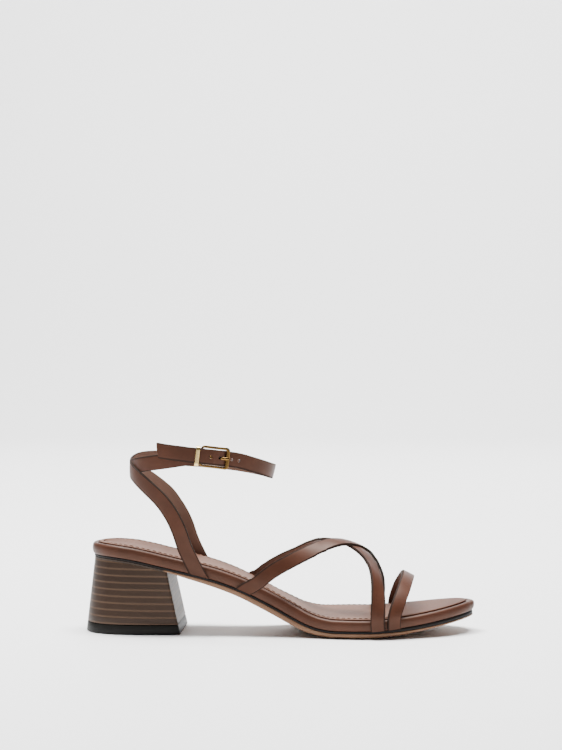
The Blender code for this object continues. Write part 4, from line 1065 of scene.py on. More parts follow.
@dataclass
class Heel:
    """Stacked heel block and its top lift, both one slanted D-shaped form."""

    form: SoleForm
    strips: int = 64
    breast_points: int = 13
    rounding: float = 0.0007
    side_end: float = 0.985
    corner: float = HEEL_CORNER * 1.3
    ring_pitch: float = 0.0041
    sharp: float = 40.0

    def walls(self) -> tuple[Array, Array]:
        """Base and top outlines as loops of x and y, from the back round the outer side.

        The half width follows the heel table over the root of the share along the
        base, and the corners of the breast are quarter rounds.

        Returns:
            Base loop and top loop.
        """
        share = (1 - np.cos(np.linspace(0, pi / 2, self.strips + 1)))[:-1] * self.side_end
        knots = np.sqrt(column(HEEL_ROWS, "share"))
        halves = HEEL_BASE_WIDTH / 2 * monotone(knots, column(HEEL_ROWS, "half"), np.sqrt(share))
        base_length = HEEL_BACK_FLARE + HEEL_TOP_LENGTH + HEEL_FRONT_FLARE
        base_x = -HEEL_BACK_FLARE + share * base_length
        top_x = HEEL_TOP_INSET + share * HEEL_TOP_LENGTH
        top_half = self.form.half_width(share * (HEEL_TOP_LENGTH + HEEL_TOP_INSET)) - HEEL_TOP_INSET
        top_half = np.maximum(top_half, 0)
        top_half[0] = 0.0
        radius = self.corner
        loops = []
        for x, half, end, middled in ((base_x, halves, -HEEL_BACK_FLARE + base_length, 0.0),
                                      (top_x, top_half, HEEL_TOP_INSET + HEEL_TOP_LENGTH, 1.0)):
            arc = np.linspace(0, pi / 2, 7)[1:]
            keep = x < end - radius
            last_half = half[keep][-1]
            corner_x = end - radius + radius * np.sin(arc)
            corner_half = last_half - radius * (1 - np.cos(arc))
            side_x = np.concatenate((x[keep], corner_x))
            side_half = np.concatenate((half[keep], corner_half))
            breast = np.linspace(-side_half[-1], side_half[-1], self.breast_points)[1:-1]
            middle = middled * self.form.centre_line(side_x)
            outer = np.stack((side_x, middle - side_half), axis=-1)
            inner = np.stack((side_x, middle + side_half), axis=-1)
            front = np.stack((np.full(len(breast), end), middle[-1] + breast), axis=-1)
            loops.append(np.concatenate((outer, front, inner[:0:-1])))
        return loops[0], loops[1]

    def ring(self, level: Optional[float], inset: float) -> Array:
        """Loop of the heel at a level over the floor, or under the seat, moved in."""
        base, top = self.walls()
        count = min(len(base), len(top))
        base, top = self.resampled(base, count), self.resampled(top, count)
        foot = np.column_stack((base, np.zeros(count)))
        head = self.form.over(top[:, 0], top[:, 1], self.form.outsole_bottom(top[:, 0]) - FIT / 2)
        share = np.ones(count) if level is None else level / head[:, 2]
        loop = foot + share[:, None] * (head - foot)
        along = unit(np.roll(loop[:, :2], -1, axis=0) - np.roll(loop[:, :2], 1, axis=0))
        loop[:, 0] -= inset * along[:, 1]
        loop[:, 1] += inset * along[:, 0]
        return loop

    @staticmethod
    def resampled(loop: Array, count: int) -> Array:
        """Same loop with another number of points, shared out by place number."""
        at = np.linspace(0, len(loop), count, endpoint=False)
        closed = np.concatenate((loop, loop[:1]))
        place = np.arange(len(closed))
        return np.stack([np.interp(at, place, closed[:, axis]) for axis in (0, 1)], axis=-1)

    def solid(self, bench: Workbench, name: str,
              levels: Sequence[tuple[Optional[float], float]]) -> bpy.types.Object:
        """Solid of the heel between its first and last ring.

        Args:
            bench: Workbench that makes the mesh.
            name: Name of the piece.
            levels: Level over the floor and inset of each ring; no level is the top.

        Returns:
            The heel piece.
        """
        loops = [self.ring(level, inset) for level, inset in levels]
        split = len(loops[0]) // 2
        halves = []
        for loop in loops:
            outer = loop[:split + 1]
            inner = np.concatenate((loop[:1], loop[:split - 1:-1]))
            size = min(len(outer), len(inner))
            halves.append((outer[:size], inner[:size]))
        caps = [spread(outer, inner, 5) for outer, inner in (halves[0], halves[-1])]
        return bench.rings(name, halves, caps, self.sharp)

    def block(self, bench: Workbench) -> bpy.types.Object:
        """Stacked block from just over the lift to the seat."""
        low = LIFT_HEIGHT + FIT
        rows = [(low, self.rounding * 0.7), (low + 0.0001, self.rounding * 0.25)]
        rows += [(low + 0.0004 + step * self.ring_pitch, 0.0) for step in range(7)]
        return self.solid(bench, "heel_stack", [*rows, (None, 0.0)])

    def lift(self, bench: Workbench) -> bpy.types.Object:
        """Top lift with softened lower and upper edges."""
        rows = [(0.0, self.rounding), (0.0002, self.rounding * 0.4), (0.0007, 0.0),
                (LIFT_HEIGHT - 0.0005, 0.0), (LIFT_HEIGHT - 0.0001, self.rounding * 0.3),
                (LIFT_HEIGHT, self.rounding * 0.6)]
        return self.solid(bench, "top_lift_rubber", rows)


@dataclass
class Fastening:
    """Buckle, prong, keeper and the sleeve that holds the buckle's rear bar."""

    matrix: Matrix
    reach: float
    share: float

    @classmethod
    def on(cls, path: Strap) -> "Fastening":
        """Stand the buckle on the long strap's path, from its rear bar to its front bar."""
        shares = np.linspace(0.5, 1, 1200)
        angles = smooth_rows(path.firsts, shares)
        rear_share = float(np.interp(2 * pi - radians(REAR_BAR_ANGLE), -angles, shares))
        reach = FRAME_LENGTH - BAR_THICKNESS / 2 - OUTER_BAR_WIDTH / 2
        skin = path.spot(shares)
        outward = skin - np.array([ANKLE_BACK + ANKLE_LENGTH / 2, 0.0, 0.0])
        outward[:, 2] = 0.0
        outward[:, 0] *= (ANKLE_WIDTH / ANKLE_LENGTH)**2
        outward = unit(outward)
        rear_index = int(np.argmin(np.abs(shares - rear_share)))
        rear = skin[rear_index] + SLEEVE_RADIUS * outward[rear_index]
        fronts = skin + (STRAP_THICKNESS + FIT + BAR_THICKNESS / 2) * outward
        gaps = np.abs(np.linalg.norm(fronts - rear, axis=1) - reach)
        gaps[shares >= rear_share] = np.inf
        front = fronts[int(np.argmin(gaps))]
        along = Vector(front - rear).normalized()
        across = Vector((0, 0, 1))
        across = (across - across.dot(along) * along).normalized()
        return cls(standing((along, across, along.cross(across)), Vector(rear)), reach, rear_share)

    def placed(self, points: Array) -> Array:
        """Points of the buckle's own frame in the part's frame."""
        turn = np.array(self.matrix)
        return points @ turn[:3, :3].T + turn[:3, 3]

    @staticmethod
    def rounded_loop(length: float, width: float, corner: float,
                     side_points: int) -> tuple[Array, Array]:
        """Loop of a rectangle with round corners, and its outward directions.

        Args:
            length: Size along x.
            width: Size along y.
            corner: Corner radius.
            side_points: Points on each straight side.

        Returns:
            Points and outward directions, both as x and y.
        """
        points, outs = [], []
        corners = ((1, 1, 0), (-1, 1, 90), (-1, -1, 180), (1, -1, 270))
        for x_sign, y_sign, start in corners:
            angle = np.radians(start + np.linspace(0, 90, 8))
            out = np.stack((np.cos(angle), np.sin(angle)), axis=-1)
            centre = np.array([x_sign * (length / 2 - corner), y_sign * (width / 2 - corner)])
            points.append(centre + corner * out)
            outs.append(out)
        loop, directions = [], []
        for number, arc in enumerate(points):
            loop.append(arc)
            directions.append(outs[number])
            following = points[(number + 1) % 4][0]
            shares = np.linspace(0, 1, side_points + 2)[1:-1, None]
            loop.append(arc[-1] + shares * (following - arc[-1]))
            directions.append(np.repeat(outs[number][-1:], side_points, axis=0))
        return np.concatenate(loop), np.concatenate(directions)

    @staticmethod
    def bar_section(power: float, points: int) -> Array:
        """Section of a bar: a rounded square, the cosine and sine raised to 2 / power."""
        angle = np.arange(points) * 2 * pi / points
        raised = 2 / power
        return np.stack((np.sign(np.cos(angle)) * np.abs(np.cos(angle))**raised,
                         np.sign(np.sin(angle)) * np.abs(np.sin(angle))**raised), axis=-1)

    def frame(self, bench: Workbench) -> bpy.types.Object:
        """Frame: a rounded square section carried round a rounded rectangle."""
        width = ANKLE_STRAP_WIDTH + 2 * FRAME_SIDE_GAP + SIDE_BAR_WIDTH
        loop, out = self.rounded_loop(self.reach, width, FRAME_CORNER * 0.9, 14)
        loop[:, 0] += self.reach / 2
        front = smoothstep(self.reach * 0.86, self.reach * 0.99, loop[:, 0])
        rear = smoothstep(self.reach * 0.14, self.reach * 0.01, loop[:, 0])
        half = (SIDE_BAR_WIDTH + front * (OUTER_BAR_WIDTH - SIDE_BAR_WIDTH)
                + rear * (BAR_THICKNESS - SIDE_BAR_WIDTH)) / 2
        section = self.bar_section(6.0, 28)
        points = np.zeros((len(loop), len(section), 3))
        points[..., 0] = loop[:, :1] + out[:, :1] * half[:, None] * section[:, 0]
        points[..., 1] = loop[:, 1:] + out[:, 1:] * half[:, None] * section[:, 0]
        points[..., 2] = BAR_THICKNESS / 2 * section[:, 1]
        return bench.tube("buckle_frame_gold", self.placed(points), True)

    def prong(self, bench: Workbench) -> bpy.types.Object:
        """Prong: a bar that comes up through its hole and ends in a blunt tip on the front bar."""
        over_front = BAR_THICKNESS / 2 + FIT + PRONG_THICKNESS / 2
        eye = BAR_THICKNESS / 2 * 2**0.5 + FIT
        knots = np.array([0.0, 0.48, 0.64, 0.80, 0.91, 1.0])
        tip = 1.0 + OUTER_BAR_WIDTH / 2.4 / self.reach
        xs = np.array([eye / self.reach, 0.48, 0.64, 0.78, 0.90, tip]) * self.reach
        flat = 0.1 * PRONG_THICKNESS
        zs = np.array([flat, flat, 0.2 * over_front, 0.92 * over_front, 1.12 * over_front, over_front])
        share = np.linspace(0, 1, 60)
        x, z = monotone(knots, xs, share), monotone(knots, zs, share)
        slope = unit(np.stack((np.gradient(x), np.gradient(z)), axis=-1))
        blunt = np.clip((share - (1 - PRONG_TIP)) / PRONG_TIP, 0, 0.985)
        radius = PRONG_THICKNESS / 2 * np.sqrt(1 - blunt**2)
        section = self.bar_section(2.2, 16)
        points = np.zeros((len(share), len(section), 3))
        points[..., 0] = x[:, None] - slope[:, 1:] * radius[:, None] * section[:, 1]
        points[..., 1] = PRONG_BREADTH * radius[:, None] * section[:, 0]
        points[..., 2] = z[:, None] + slope[:, :1] * radius[:, None] * section[:, 1]
        return bench.tube("buckle_prong_gold", self.placed(points), False)

    def prong_eye(self, bench: Workbench) -> bpy.types.Object:
        """Eye of the prong: a flat ring round the rear bar."""
        section = self.bar_section(4.0, 12)
        radius = BAR_THICKNESS / 2 * 2**0.5 + FIT + PRONG_THICKNESS / 4
        return self.ring(bench, "prong_eye_gold", radius + PRONG_THICKNESS / 4 * section[:, 0],
                         (PRONG_SLOT / 2 - 2 * FIT) * section[:, 1], 40, 50.0)

    def keeper(self, bench: Workbench) -> bpy.types.Object:
        """Keeper: a flat band carried round both straps behind the buckle."""
        back = -BAR_THICKNESS / 2 - FRAME_SIDE_GAP - KEEPER_WIDTH / 2
        low = -SLEEVE_RADIUS - 7 * FIT
        height = KEEPER_ROOM * (STRAP_THICKNESS + FIT)
        width = ANKLE_STRAP_WIDTH + 9 * FIT
        loop, out = self.rounded_loop(height + KEEPER_WALL, width + KEEPER_WALL, FRAME_CORNER, 12)
        section = self.bar_section(5.0, 20)
        points = np.zeros((len(loop), len(section), 3))
        points[..., 2] = low + height / 2 - (loop[:, :1] + out[:, :1] * KEEPER_WALL / 2 * section[:, 0])
        points[..., 1] = loop[:, 1:] + out[:, 1:] * KEEPER_WALL / 2 * section[:, 0] - KEEPER_DROP
        points[..., 0] = back + KEEPER_WIDTH / 2 * section[:, 1]
        return bench.tube("keeper_gold", self.placed(points), True)

    def ring(self, bench: Workbench, name: str, radii: Array, places: Array, steps: int,
             sharp: float) -> bpy.types.Object:
        """Closed ring round the rear bar.

        Args:
            bench: Workbench that makes the mesh.
            name: Name of the piece.
            radii: Distances of the profile's points from the bar's axis.
            places: Places of the profile's points across the strap.
            steps: Number of steps round the bar.
            sharp: Angle in degrees above which an edge stays sharp.

        Returns:
            The ring.
        """
        turn = (np.arange(steps) * 2 * pi / steps)[:, None]
        points = np.stack(np.broadcast_arrays(np.cos(turn) * radii, places, np.sin(turn) * radii), axis=-1)
        return bench.tube(name, self.placed(points), True, sharp=sharp)

    def sleeve(self, bench: Workbench) -> list[bpy.types.Object]:
        """Sleeve: the short strap's end rolled round the rear bar, open where the prong turns."""
        inner, outer = SLEEVE_RADIUS - SLEEVE_WALL, SLEEVE_RADIUS
        halves = []
        for side, name in ((-1, "buckle_sleeve_low"), (1, "buckle_sleeve_high")):
            start, end = side * PRONG_SLOT / 2, side * ANKLE_STRAP_WIDTH / 2
            halves.append(self.ring(bench, name, np.array([inner, outer, outer, inner]),
                                    np.array([start, start, end, end]), 48, 40.0))
        return halves


@dataclass
class AnkleStraps:
    """The long and the short ankle strap, and the round holes through the long one."""

    form: Form
    sole: SoleForm

    def strap(self, name: str, rows: Sequence[NamedTuple], count: int, slant: float) -> Strap:
        """A strap along a table of angles and heights."""
        return Strap(name, self.form, self.sole, np.radians(column(rows, "angle")),
                     column(rows, "height") * ANKLE_HEIGHT, column(rows, "lift"), column(rows, "lean"),
                     ANKLE_STRAP_WIDTH, rows=count, end_trimmed=False, slant=slant)

    def long(self) -> Strap:
        """Strap from the outer waist round the back and the front to the free tail."""
        return self.strap("ankle_strap_long", LONG_STRAP_ROWS, 560, TAIL_SLANT * SHARE_PER_SLANT)

    def short(self) -> Strap:
        """Strap from the inner waist round the back to the buckle's rear bar."""
        return self.strap("ankle_strap_short", SHORT_STRAP_ROWS, 300, 0.0)

    @staticmethod
    def pierce(piece: bpy.types.Object, path: Strap, fastening: Fastening, bench: Workbench) -> None:
        """Cut the round holes, the prong's among them, through the long strap.

        Args:
            piece: The long strap.
            path: The path it was built on.
            fastening: Buckle that tells where the prong goes through.
            bench: Workbench that the strap was made on.
        """
        _, centres, alongs, normals = path.middle()
        run = run_along(centres)
        local = np.array([fastening.matrix.inverted() @ Vector(point) for point in centres])
        rear = float(np.interp(fastening.share, np.linspace(0, 1, len(run)), run))
        near = (run > rear - 1.5 * FRAME_LENGTH) & (run < rear)
        at_prong = float(np.interp(-PRONG_HOLE * fastening.reach, -local[near, 0], run[near]))
        cutter = bmesh.new()
        for count in (1, 0, -1, -2, -3):
            at = at_prong + count * HOLE_PITCH - (0 if count else PRONG_THICKNESS)
            centre, along, normal = (Vector([np.interp(at, run, values[:, axis]) for axis in range(3)])
                                     for values in (centres, alongs, normals))
            axes = (along.normalized(), normal.cross(along).normalized(), normal.normalized())
            bmesh.ops.create_cone(cutter, cap_ends=True, segments=HOLE_SIDES, radius1=HOLE_DIAMETER / 2,
                                  radius2=HOLE_DIAMETER / 2, depth=3 * STRAP_THICKNESS,
                                  matrix=standing(axes, centre + Vector(bench.shift)))
        data = bpy.data.meshes.new("hole_cutters")
        cutter.to_mesh(data)
        cutter.free()
        tool = added("hole_cutters", data)
        cut = piece.modifiers.new("holes", "BOOLEAN")
        cut.operation = "DIFFERENCE"
        cut.solver = "EXACT"
        cut.object = tool
        bpy.context.view_layer.update()
        evaluated = piece.evaluated_get(bpy.context.evaluated_depsgraph_get())
        holed = bpy.data.meshes.new_from_object(evaluated)
        piece.modifiers.clear()
        piece.data = holed
        bpy.data.objects.remove(tool)


@dataclass(frozen=True)
class Wire:
    """A shader value with arithmetic: every operation adds one math node."""

    sheet: "Sheet"
    socket: object

    def math(self, operation: str, *others: object) -> "Wire":
        """One math node whose first input is this value."""
        inputs = dict(enumerate((self.socket, *others)))
        node = self.sheet.node("ShaderNodeMath", {"operation": operation}, inputs)
        return Wire(self.sheet, node.outputs[0])

    def __add__(self, other: object) -> "Wire":
        """Sum."""
        return self.math("ADD", other)

    def __radd__(self, other: object) -> "Wire":
        """Sum with a number in front."""
        return self.math("ADD", other)

    def __sub__(self, other: object) -> "Wire":
        """Difference."""
        return self.math("SUBTRACT", other)

    def __rsub__(self, other: object) -> "Wire":
        """Number less this value."""
        return (self * -1.0) + other

    def __mul__(self, other: object) -> "Wire":
        """Product."""
        return self.math("MULTIPLY", other)

    def __rmul__(self, other: object) -> "Wire":
        """Product with a number in front."""
        return self.math("MULTIPLY", other)

    def __truediv__(self, other: object) -> "Wire":
        """Quotient."""
        return self.math("DIVIDE", other)

    def eased(self, low: float, high: float) -> "Wire":
        """Share from 0 at low to 1 at high, level at both ends."""
        inputs = {"Value": self.socket, "From Min": low, "From Max": high}
        node = self.sheet.node("ShaderNodeMapRange", {"interpolation_type": "SMOOTHSTEP"}, inputs)
        return Wire(self.sheet, node.outputs[0])


@dataclass
class Sheet:
    """The node sheet of one material, with its shader ready to take values."""

    name: str
    material: bpy.types.Material = None
    shader: bpy.types.Node = None

    def __post_init__(self) -> None:
        """Make the material and find its shader."""
        self.material = bpy.data.materials.new(self.name)
        self.material.use_nodes = True
        self.shader = self.material.node_tree.nodes["Principled BSDF"]

    def node(self, kind: str, settings: dict, inputs: dict) -> bpy.types.Node:
        """Add a node: its settings first, then its values and links.

        Args:
            kind: Type of the node.
            settings: Attributes of the node.
            inputs: Numbers, colours, sockets or wires by input name or number.

        Returns:
            The node.
        """
        node = self.material.node_tree.nodes.new(kind)
        for key, value in settings.items():
            setattr(node, key, value)
        for key, value in inputs.items():
            self.give(node.inputs[key], value)
        return node

    def give(self, target: bpy.types.NodeSocket, value: object) -> None:
        """Link a socket or wire, or set a number or colour."""
        value = value.socket if isinstance(value, Wire) else value
        if isinstance(value, bpy.types.NodeSocket):
            self.material.node_tree.links.new(value, target)
        elif target.type == "RGBA" and len(value) == 3:
            target.default_value = (*value, 1.0)
        else:
            target.default_value = value

    def spot(self, stretch: Optional[tuple[float, float, float]] = None) -> bpy.types.NodeSocket:
        """Place on the piece in metres, scaled along each axis where a stretch is given."""
        coordinates = self.node("ShaderNodeTexCoord", {}, {}).outputs["Object"]
        if stretch is None:
            return coordinates
        inputs = {0: coordinates, 1: stretch}
        return self.node("ShaderNodeVectorMath", {"operation": "MULTIPLY"}, inputs).outputs[0]

    def axes(self) -> tuple[Wire, ...]:
        """The three coordinates of the place on the piece."""
        parts = self.node("ShaderNodeSeparateXYZ", {}, {0: self.spot()})
        return tuple(Wire(self, part) for part in parts.outputs)

    def noise(self, scale: float, detail: float = 3.0, roughness: float = 0.5,
              place: Optional[bpy.types.NodeSocket] = None) -> Wire:
        """Noise from 0 to 1 of a number of cells to the metre."""
        inputs = {"Vector": place or self.spot(), "Scale": scale, "Detail": detail, "Roughness": roughness}
        return Wire(self, self.node("ShaderNodeTexNoise", {}, inputs).outputs[0])

    def cells(self, scale: float) -> Wire:
        """Distance to the nearest cell centre of a grain."""
        inputs = {"Vector": self.spot(), "Scale": scale}
        node = self.node("ShaderNodeTexVoronoi", {"feature": "F1"}, inputs)
        return Wire(self, node.outputs["Distance"])

    def attribute(self, name: str) -> Wire:
        """Share stored on the mesh."""
        node = self.node("ShaderNodeAttribute", {"attribute_name": name}, {})
        return Wire(self, node.outputs["Fac"])

    def edge_bend(self, radius: float) -> Wire:
        """How sharply the surface bends: one less the dot of the true and a bevelled normal."""
        bevelled = self.node("ShaderNodeBevel", {"samples": 4}, {"Radius": radius}).outputs[0]
        true = self.node("ShaderNodeNewGeometry", {}, {}).outputs["Normal"]
        dot = self.node("ShaderNodeVectorMath", {"operation": "DOT_PRODUCT"}, {0: bevelled, 1: true})
        return 1.0 - Wire(self, dot.outputs["Value"])

    def mixed(self, share: object, first: object, second: object) -> object:
        """Colour between two colours."""
        node = self.node("ShaderNodeMix", {"data_type": "RGBA", "clamp_factor": True}, {})
        for place, value in ((0, share), (6, first), (7, second)):
            self.give(node.inputs[place], value)
        return node.outputs[2]

    def bumped(self, height: Wire, distance: float, strength: float = 1.0) -> None:
        """Feed a height into the shader's normal."""
        inputs = {"Height": height, "Distance": distance, "Strength": strength}
        node = self.node("ShaderNodeBump", {}, inputs)
        self.give(self.shader.inputs["Normal"], node.outputs[0])

    def set(self, **values: object) -> None:
        """Give the shader's inputs, named with underscores for spaces."""
        for key, value in values.items():
            self.give(self.shader.inputs[key.replace("_", " ")], value)


def linear(red: float, green: float, blue: float) -> Colour:
    """Shader colour of a display colour given in steps of 255."""
    return tuple(((value / 255 + 0.055) / 1.055)**2.4 for value in (red, green, blue))


@dataclass(frozen=True)
class Leather:
    """Satin leather: fine pores, soft clouds of colour, darker cut edges, a paler lining.

    The front colours begin at the place named front, along the foot.
    """

    name: str
    light: Colour
    dark: Colour
    edge: Colour
    roughness: float = 0.46
    grain: float = 2600.0
    grain_depth: float = 0.00004
    coat: float = 0.02
    cloud: float = 60.0
    front: float = NOWHERE
    front_light: Colour = (0.0, 0.0, 0.0)
    front_dark: Colour = (0.0, 0.0, 0.0)
    sheen: Colour = (1.0, 0.78, 0.66)
    lining: Colour = (0.15, 0.080, 0.057)

    def material(self) -> bpy.types.Material:
        """Build the leather's material."""
        sheet = Sheet(self.name)
        clouds = sheet.noise(self.cloud, 4.0, 0.6).eased(0.32, 0.68)
        pores = sheet.cells(self.grain).eased(0.05, 0.75)
        creases = sheet.noise(420.0, 4.0, 0.6)
        side = sheet.attribute("cut_edge")
        cut, lining = side.eased(0.0, 1.0), (side * -1.0).eased(0.0, 1.0)
        colour = sheet.mixed(clouds, self.dark, self.light)
        forward = sheet.axes()[0].eased(self.front - 0.0002, self.front + 0.0002)
        colour = sheet.mixed(forward, colour, sheet.mixed(clouds, self.front_dark, self.front_light))
        colour = sheet.mixed(pores * 0.22 * (1.0 - cut), colour, self.dark)
        rub_and_glint = (sheet.edge_bend(0.0004) * 3.0).eased(0.1, 0.9)
        colour = sheet.mixed(rub_and_glint * 0.18, colour, self.light)
        colour = sheet.mixed(lining, colour, self.lining)
        colour = sheet.mixed(cut * 0.85, colour, self.edge)
        sheet.set(Base_Color=colour, Roughness=self.roughness + 0.10 * (creases - 0.5) + 0.34 * cut,
                  Coat_Weight=self.coat * (1.0 - 0.9 * cut), Coat_Roughness=0.30, Specular_IOR_Level=0.26,
                  Specular_Tint=self.sheen)
        sheet.bumped(creases * 0.7 + (1.0 - pores) * 0.5, self.grain_depth, 0.55)
        return sheet.material


@dataclass(frozen=True)
class Stack:
    """Stacked heel: thin layers with light lines between, varnished."""

    name: str
    first_line: float = 0.0096
    pitch: float = 0.00416
    line: float = 0.0009
    lean: float = 0.012

    def material(self) -> bpy.types.Material:
        """Build the layered material: the share of the height within a layer picks the line."""
        sheet = Sheet(self.name)
        x, _, z = sheet.axes()
        wave = (sheet.noise(26.0, 2.0) - 0.5) * 0.0006
        layer = (z + x * self.lean + wave - self.first_line + 10 * self.pitch) / self.pitch
        within = layer.math("FRACT") - 0.5
        breadth = self.line / self.pitch
        line = within.math("ABSOLUTE").eased(0.5 - breadth, 0.5 - 0.1 * breadth)
        number = layer.math("FLOOR")
        shade = (number * 12.9898).math("SINE").math("ABSOLUTE")
        fibres = sheet.noise(90.0, 6.0, 0.65, sheet.spot((1.0, 1.0, 14.0)))
        fine = sheet.noise(700.0, 4.0, 0.6, sheet.spot((0.25, 0.25, 3.0)))
        colour = sheet.mixed(shade * 0.55 + fibres * 0.4, linear(40, 27, 20), linear(56, 40, 30))
        colour = sheet.mixed(fine.eased(0.35, 0.75) * 0.35, colour, linear(30, 20, 14))
        colour = sheet.mixed(line * 0.6, colour, linear(96, 75, 60))
        rub_and_glint = (sheet.edge_bend(0.0006) * 3.0).eased(0.05, 0.8)
        colour = sheet.mixed(rub_and_glint * 0.25, colour, linear(140, 112, 86))
        sheet.set(Base_Color=colour, Roughness=0.50 + fibres * 0.12, Coat_Weight=0.08 - line * 0.05,
                  Coat_Roughness=0.20, Specular_IOR_Level=0.22, Specular_Tint=(1.0, 0.86, 0.76))
        sheet.bumped(fibres * 0.4 + fine * 0.3 - line * 0.8, 0.00006, 0.6)
        return sheet.material


@dataclass(frozen=True)
class Board:
    """Moulded or cut sole material: fine speckle, scuffed along its edges.

    The seat's shade covers what lies behind the place named seat, along the foot.
    """

    name: str
    base: Colour
    second: Colour
    rub_and_glint: Colour
    roughness: float = 0.55
    coat: float = 0.0
    speckle: float = 1400.0
    seat: float = -NOWHERE
    seat_shade: Colour = (0.0, 0.0, 0.0)
    depth: float = 0.00005

    def material(self) -> bpy.types.Material:
        """Build the speckled material."""
        sheet = Sheet(self.name)
        clouds = sheet.noise(45.0, 4.0, 0.6).eased(0.3, 0.7)
        specks = sheet.noise(self.speckle, 3.0, 0.7)
        streaks = sheet.noise(120.0, 4.0, 0.6, sheet.spot((0.3, 0.3, 6.0)))
        colour = sheet.mixed(clouds * 0.5 + specks * 0.5, self.base, self.second)
        rub_and_glint = (sheet.edge_bend(0.0005) * 3.0).eased(0.05, 0.8)
        colour = sheet.mixed(rub_and_glint * 0.35, colour, self.rub_and_glint)
        ahead = sheet.axes()[0].eased(self.seat - 0.001, self.seat + 0.001)
        colour = sheet.mixed(1.0 - ahead, colour, self.seat_shade)
        sheet.set(Base_Color=colour, Roughness=self.roughness + 0.14 * (specks - 0.5),
                  Coat_Weight=self.coat, Coat_Roughness=0.25, Specular_IOR_Level=0.18)
        sheet.bumped(specks * 0.6 + streaks * 0.4, self.depth, 0.5)
        return sheet.material


@dataclass(frozen=True)
class Metal:
    """Plated metal: polished, with hairline scratches, a little dullness and pale edges, partly rubbed
    plating and partly a painted highlight.
    """

    name: str
    colour: Colour
    dull: Colour
    roughness: float = 0.16

    def material(self) -> bpy.types.Material:
        """Build the plated material."""
        sheet = Sheet(self.name)
        clouds = sheet.noise(180.0, 3.0, 0.6).eased(0.35, 0.7)
        hairs = sheet.noise(900.0, 4.0, 0.7, sheet.spot((1.0, 1.0, 9.0)))
        # Pale edges: partly rubbed plating, partly a painted highlight along the rounded bars.
        rub_and_glint = (sheet.edge_bend(0.0003) * 2.5).eased(0.1, 0.9)
        colour = sheet.mixed(clouds * 0.5, self.colour, self.dull)
        colour = sheet.mixed(rub_and_glint * 0.75, colour, linear(250, 232, 190))
        sheet.set(Base_Color=colour, Metallic=1.0, Roughness=self.roughness + 0.14 * clouds * hairs)
        sheet.bumped(hairs, 0.00001, 0.35)
        return sheet.material


@dataclass(frozen=True)
class Thread:
    """Waxed sewing thread, twisted."""

    name: str
    colour: Colour

    def material(self) -> bpy.types.Material:
        """Build the thread's material."""
        sheet = Sheet(self.name)
        x, y, _ = sheet.axes()
        twist = ((x + y) * 9000.0).math("SINE") * 0.5 + 0.5
        fuzz = sheet.noise(2500.0, 3.0, 0.6)
        bright = tuple(1.9 * value for value in self.colour)
        colour = sheet.mixed(twist * 0.5 + fuzz * 0.3, self.colour, bright)
        sheet.set(Base_Color=colour, Roughness=0.75 + 0.2 * fuzz, Specular_IOR_Level=0.08)
        sheet.bumped(twist, 0.00005, 0.6)
        return sheet.material


class LampRow(NamedTuple):
    """Soft rectangular light: where it hangs, what it aims at, its size and power in watts."""
    name: str
    place: tuple[float, float, float]
    aim: tuple[float, float, float]
    size: tuple[float, float]
    power: float


LAMP_ROWS = (
    LampRow("overhead_light", (0.0, 0.2, 1.8), (0.0, 0.1, 0.0), (1.4, 0.6), 118.0),
    LampRow("key_light", (-0.45, 0.25, 1.3), (0.0, 0.0, 0.03), (0.6, 0.5), 18.0),
    LampRow("back_light", (0.0, 1.4, 1.6), (0.0, 2.8, 0.5), (3.0, 1.0), 110.0),
)


@dataclass(frozen=True)
class Studio:
    """Pale floor that curves up behind, soft lights and the photo's camera."""

    place: tuple[float, float, float] = (0.0617, -1.2477, 0.185)
    tilt: float = 88.75
    turn: float = 2.8
    lens: float = 97.24
    floor_reach: float = 3.0
    bend_start: float = 2.2
    sweep_radius: float = 0.8
    wall_top: float = 3.5
    glow: float = 0.12

    def floor(self, bench: Workbench) -> bpy.types.Object:
        """Floor carried along a profile that bends up into the backdrop."""
        bend = np.radians(np.linspace(-90, 0, 25))
        radius, back = self.sweep_radius, self.bend_start
        y = np.concatenate(([-self.floor_reach, 0.0, 1.2], back + radius * np.cos(bend), [back + radius]))
        z = np.concatenate(([0.0, 0.0, 0.0], radius * (1 + np.sin(bend)), [self.wall_top]))
        x = np.linspace(-self.floor_reach, self.floor_reach, 9)
        grid = np.stack(np.broadcast_arrays(x[None, :], y[:, None], z[:, None]), axis=-1)
        index = np.arange(grid[..., 0].size).reshape(grid.shape[:2])
        floor = bench.mesh("studio_floor", grid.reshape(-1, 3) - bench.shift, cells_of(index))
        sheet = Sheet("studio_floor")
        haze = sheet.noise(3.0, 3.0, 0.5)
        sheet.set(Base_Color=sheet.mixed(haze * 0.3, (0.94, 0.94, 0.94), (0.92, 0.92, 0.92)),
                  Roughness=0.55 + 0.05 * haze)
        floor.data.materials.append(sheet.material)
        return floor

    @staticmethod
    def hang(row: LampRow) -> None:
        """Hang one light and turn it to what it aims at."""
        data = bpy.data.lights.new(row.name, "AREA")
        data.shape = "RECTANGLE"
        data.size, data.size_y = row.size
        data.energy = row.power
        lamp = added(row.name, data)
        lamp.location = row.place
        lamp.rotation_euler = (Vector(row.aim) - Vector(row.place)).to_track_quat("-Z", "Y").to_euler()

    def build(self, bench: Workbench) -> None:
        """Set up the floor, the lights, the world and the camera."""
        self.floor(bench)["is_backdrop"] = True
        for row in LAMP_ROWS:
            self.hang(row)
        world = bpy.data.worlds.new("studio_world")
        world.use_nodes = True
        background = world.node_tree.nodes["Background"]
        background.inputs["Color"].default_value = (1.0, 1.0, 1.0, 1.0)
        background.inputs["Strength"].default_value = self.glow
        bpy.context.scene.world = world
        data = bpy.data.cameras.new("photo_camera")
        data.lens = self.lens
        data.clip_start = 0.01
        camera = added("photo_camera", data)
        camera.location = self.place
        camera.rotation_euler = (radians(self.tilt), 0.0, radians(self.turn))
        bpy.context.scene.camera = camera


